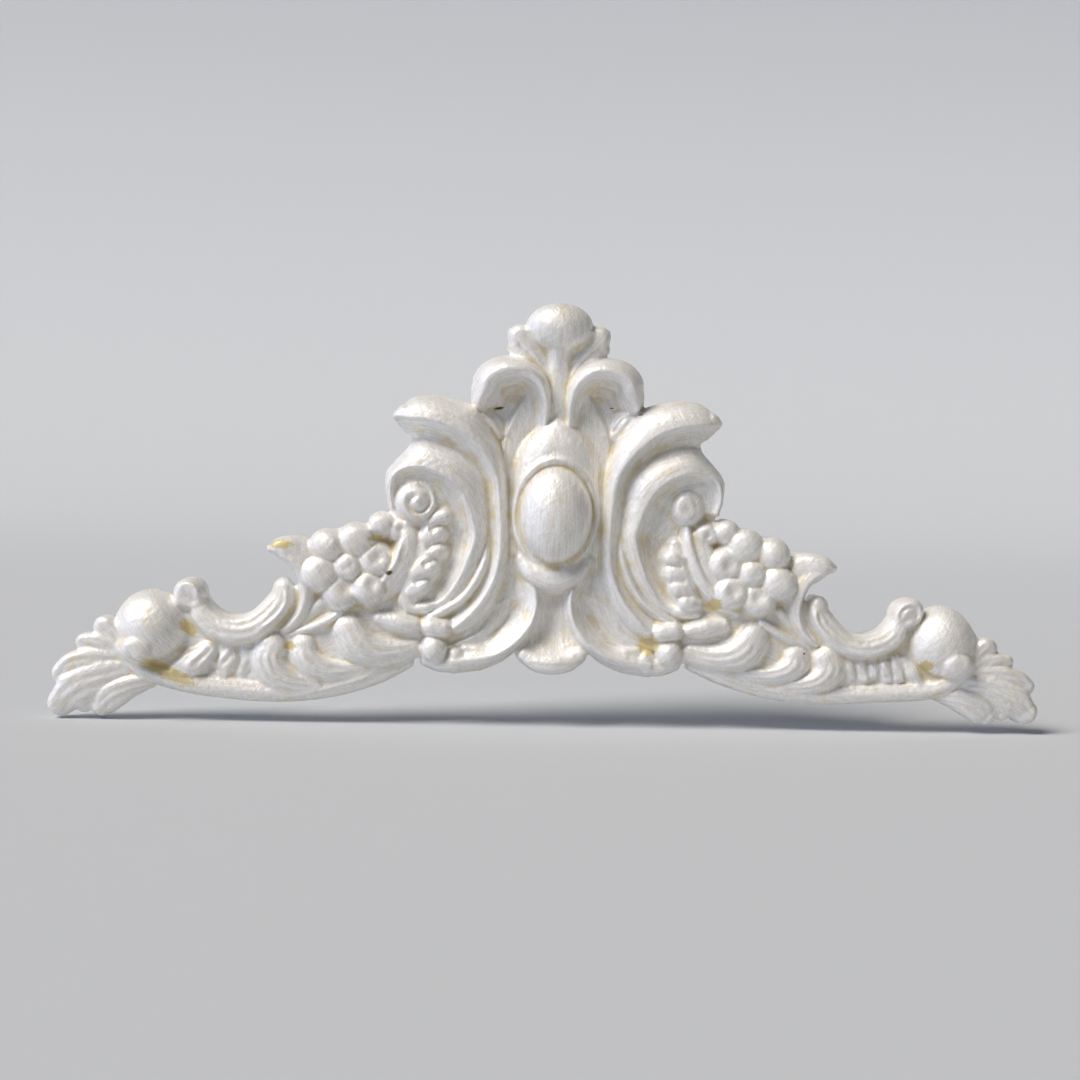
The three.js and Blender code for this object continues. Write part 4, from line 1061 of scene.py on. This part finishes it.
def studio_floor(colour):
    """A pale sheet: flat under the ornament, and far behind it a quarter round up to a wall."""
    bend = np.linspace(0, math.pi / 2, 24)
    back = BEND_START + BEND_RADIUS
    away = np.concatenate([[-FLOOR_REACH], BEND_START + BEND_RADIUS * np.sin(bend), [back]])
    rise = np.concatenate([[0.0], BEND_RADIUS * (1 - np.cos(bend)), [WALL_TOP]]) + FLOOR_LEVEL
    count = len(away)
    side = np.repeat([-FLOOR_REACH, FLOOR_REACH], count)
    points = np.stack([side, np.tile(away, 2), np.tile(rise, 2)], 1)
    first = np.arange(count - 1)
    quads = np.stack([first, first + count, first + count + 1, first + 1], 1)
    mesh = bpy.data.meshes.new("studio_floor")
    mesh.from_pydata(points.tolist(), [], quads.tolist())
    mesh.polygons.foreach_set("use_smooth", np.ones(len(quads), bool))
    # Matt backdrop paper: pale and without gloss.
    paper = bpy.data.materials.new("matt_paper")
    paper.use_nodes = True
    paper.node_tree.nodes["Principled BSDF"].inputs["Base Color"].default_value = (*colour, 1)
    paper.node_tree.nodes["Principled BSDF"].inputs["Roughness"].default_value = 0.9
    mesh.materials.append(paper)
    return bpy.data.objects.new("studio_floor", mesh)


class PEDIMENT_OT_casting(bpy.types.Operator):
    """Builds the carved casting with its paint, in place of the plain solid"""

    bl_idname = "pediment.casting"
    bl_label = "Casting"

    def execute(self, context):
        look = context.scene.pediment_casting
        piece = bpy.data.objects.new("pediment_casting", casting_mesh("pediment_casting", 1000 * look.grid))
        piece.data.materials.append(painted_resin(look))
        context.scene.collection.objects.link(piece)
        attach(piece, "root")
        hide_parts("pediment")
        return {"FINISHED"}


class PEDIMENT_OT_stage(bpy.types.Operator):
    """Sets the pale floor, the soft studio lights and the camera of the photo"""

    bl_idname = "pediment.stage"
    bl_label = "Stage"

    def execute(self, context):
        scene = context.scene
        look = scene.pediment_stage
        floor = studio_floor(look.floor)
        scene.collection.objects.link(floor)
        for name, spot, spread, share, tint in LAMPS:
            lamp = bpy.data.lights.new(name, "SUN")
            lamp.angle = math.radians(spread)
            lamp.energy = share * look.key_power
            lamp.color = linear(tint)
            holder = bpy.data.objects.new(name, lamp)
            holder.location = spot
            holder.rotation_mode = "QUATERNION"
            holder.rotation_quaternion = (-Vector(spot)).to_track_quat("-Z", "Y")
            scene.collection.objects.link(holder)
        world = bpy.data.worlds.new("studio_air")
        world.use_nodes = True
        world.node_tree.nodes["Background"].inputs["Color"].default_value = (*linear("DDE3EA"), 1)
        world.node_tree.nodes["Background"].inputs["Strength"].default_value = look.air
        scene.world = world
        scene.view_settings.view_transform = "Standard"
        camera = photo_camera()
        scene.collection.objects.link(camera)
        scene.camera = camera
        return {"FINISHED"}


class PEDIMENT_PT_pieces(bpy.types.Panel):
    """Lists the pieces of the ornament and what can be changed on them"""

    bl_label = "Pediment"
    bl_idname = "PEDIMENT_PT_pieces"
    bl_space_type = "VIEW_3D"
    bl_region_type = "UI"
    bl_category = "Pediment"

    def draw(self, context):
        for group, operator in (("pediment_casting", "pediment.casting"),
                                ("pediment_stage", "pediment.stage")):
            box = self.layout.box()
            look = getattr(context.scene, group)
            for field in look.__annotations__:
                box.prop(look, field)
            box.operator(operator)


CLASSES = (
    PedimentCasting,
    PedimentStage,
    PEDIMENT_OT_casting,
    PEDIMENT_OT_stage,
    PEDIMENT_PT_pieces,
)


def register():
    for kind in CLASSES:
        bpy.utils.register_class(kind)
    bpy.types.Scene.pediment_casting = bpy.props.PointerProperty(type=PedimentCasting)
    bpy.types.Scene.pediment_stage = bpy.props.PointerProperty(type=PedimentStage)


def unregister():
    del bpy.types.Scene.pediment_stage
    del bpy.types.Scene.pediment_casting
    for kind in reversed(CLASSES):
        bpy.utils.unregister_class(kind)


def main():
    register()
    bpy.ops.pediment.casting()
    bpy.ops.pediment.stage()


if __name__ == "__main__":
    main()
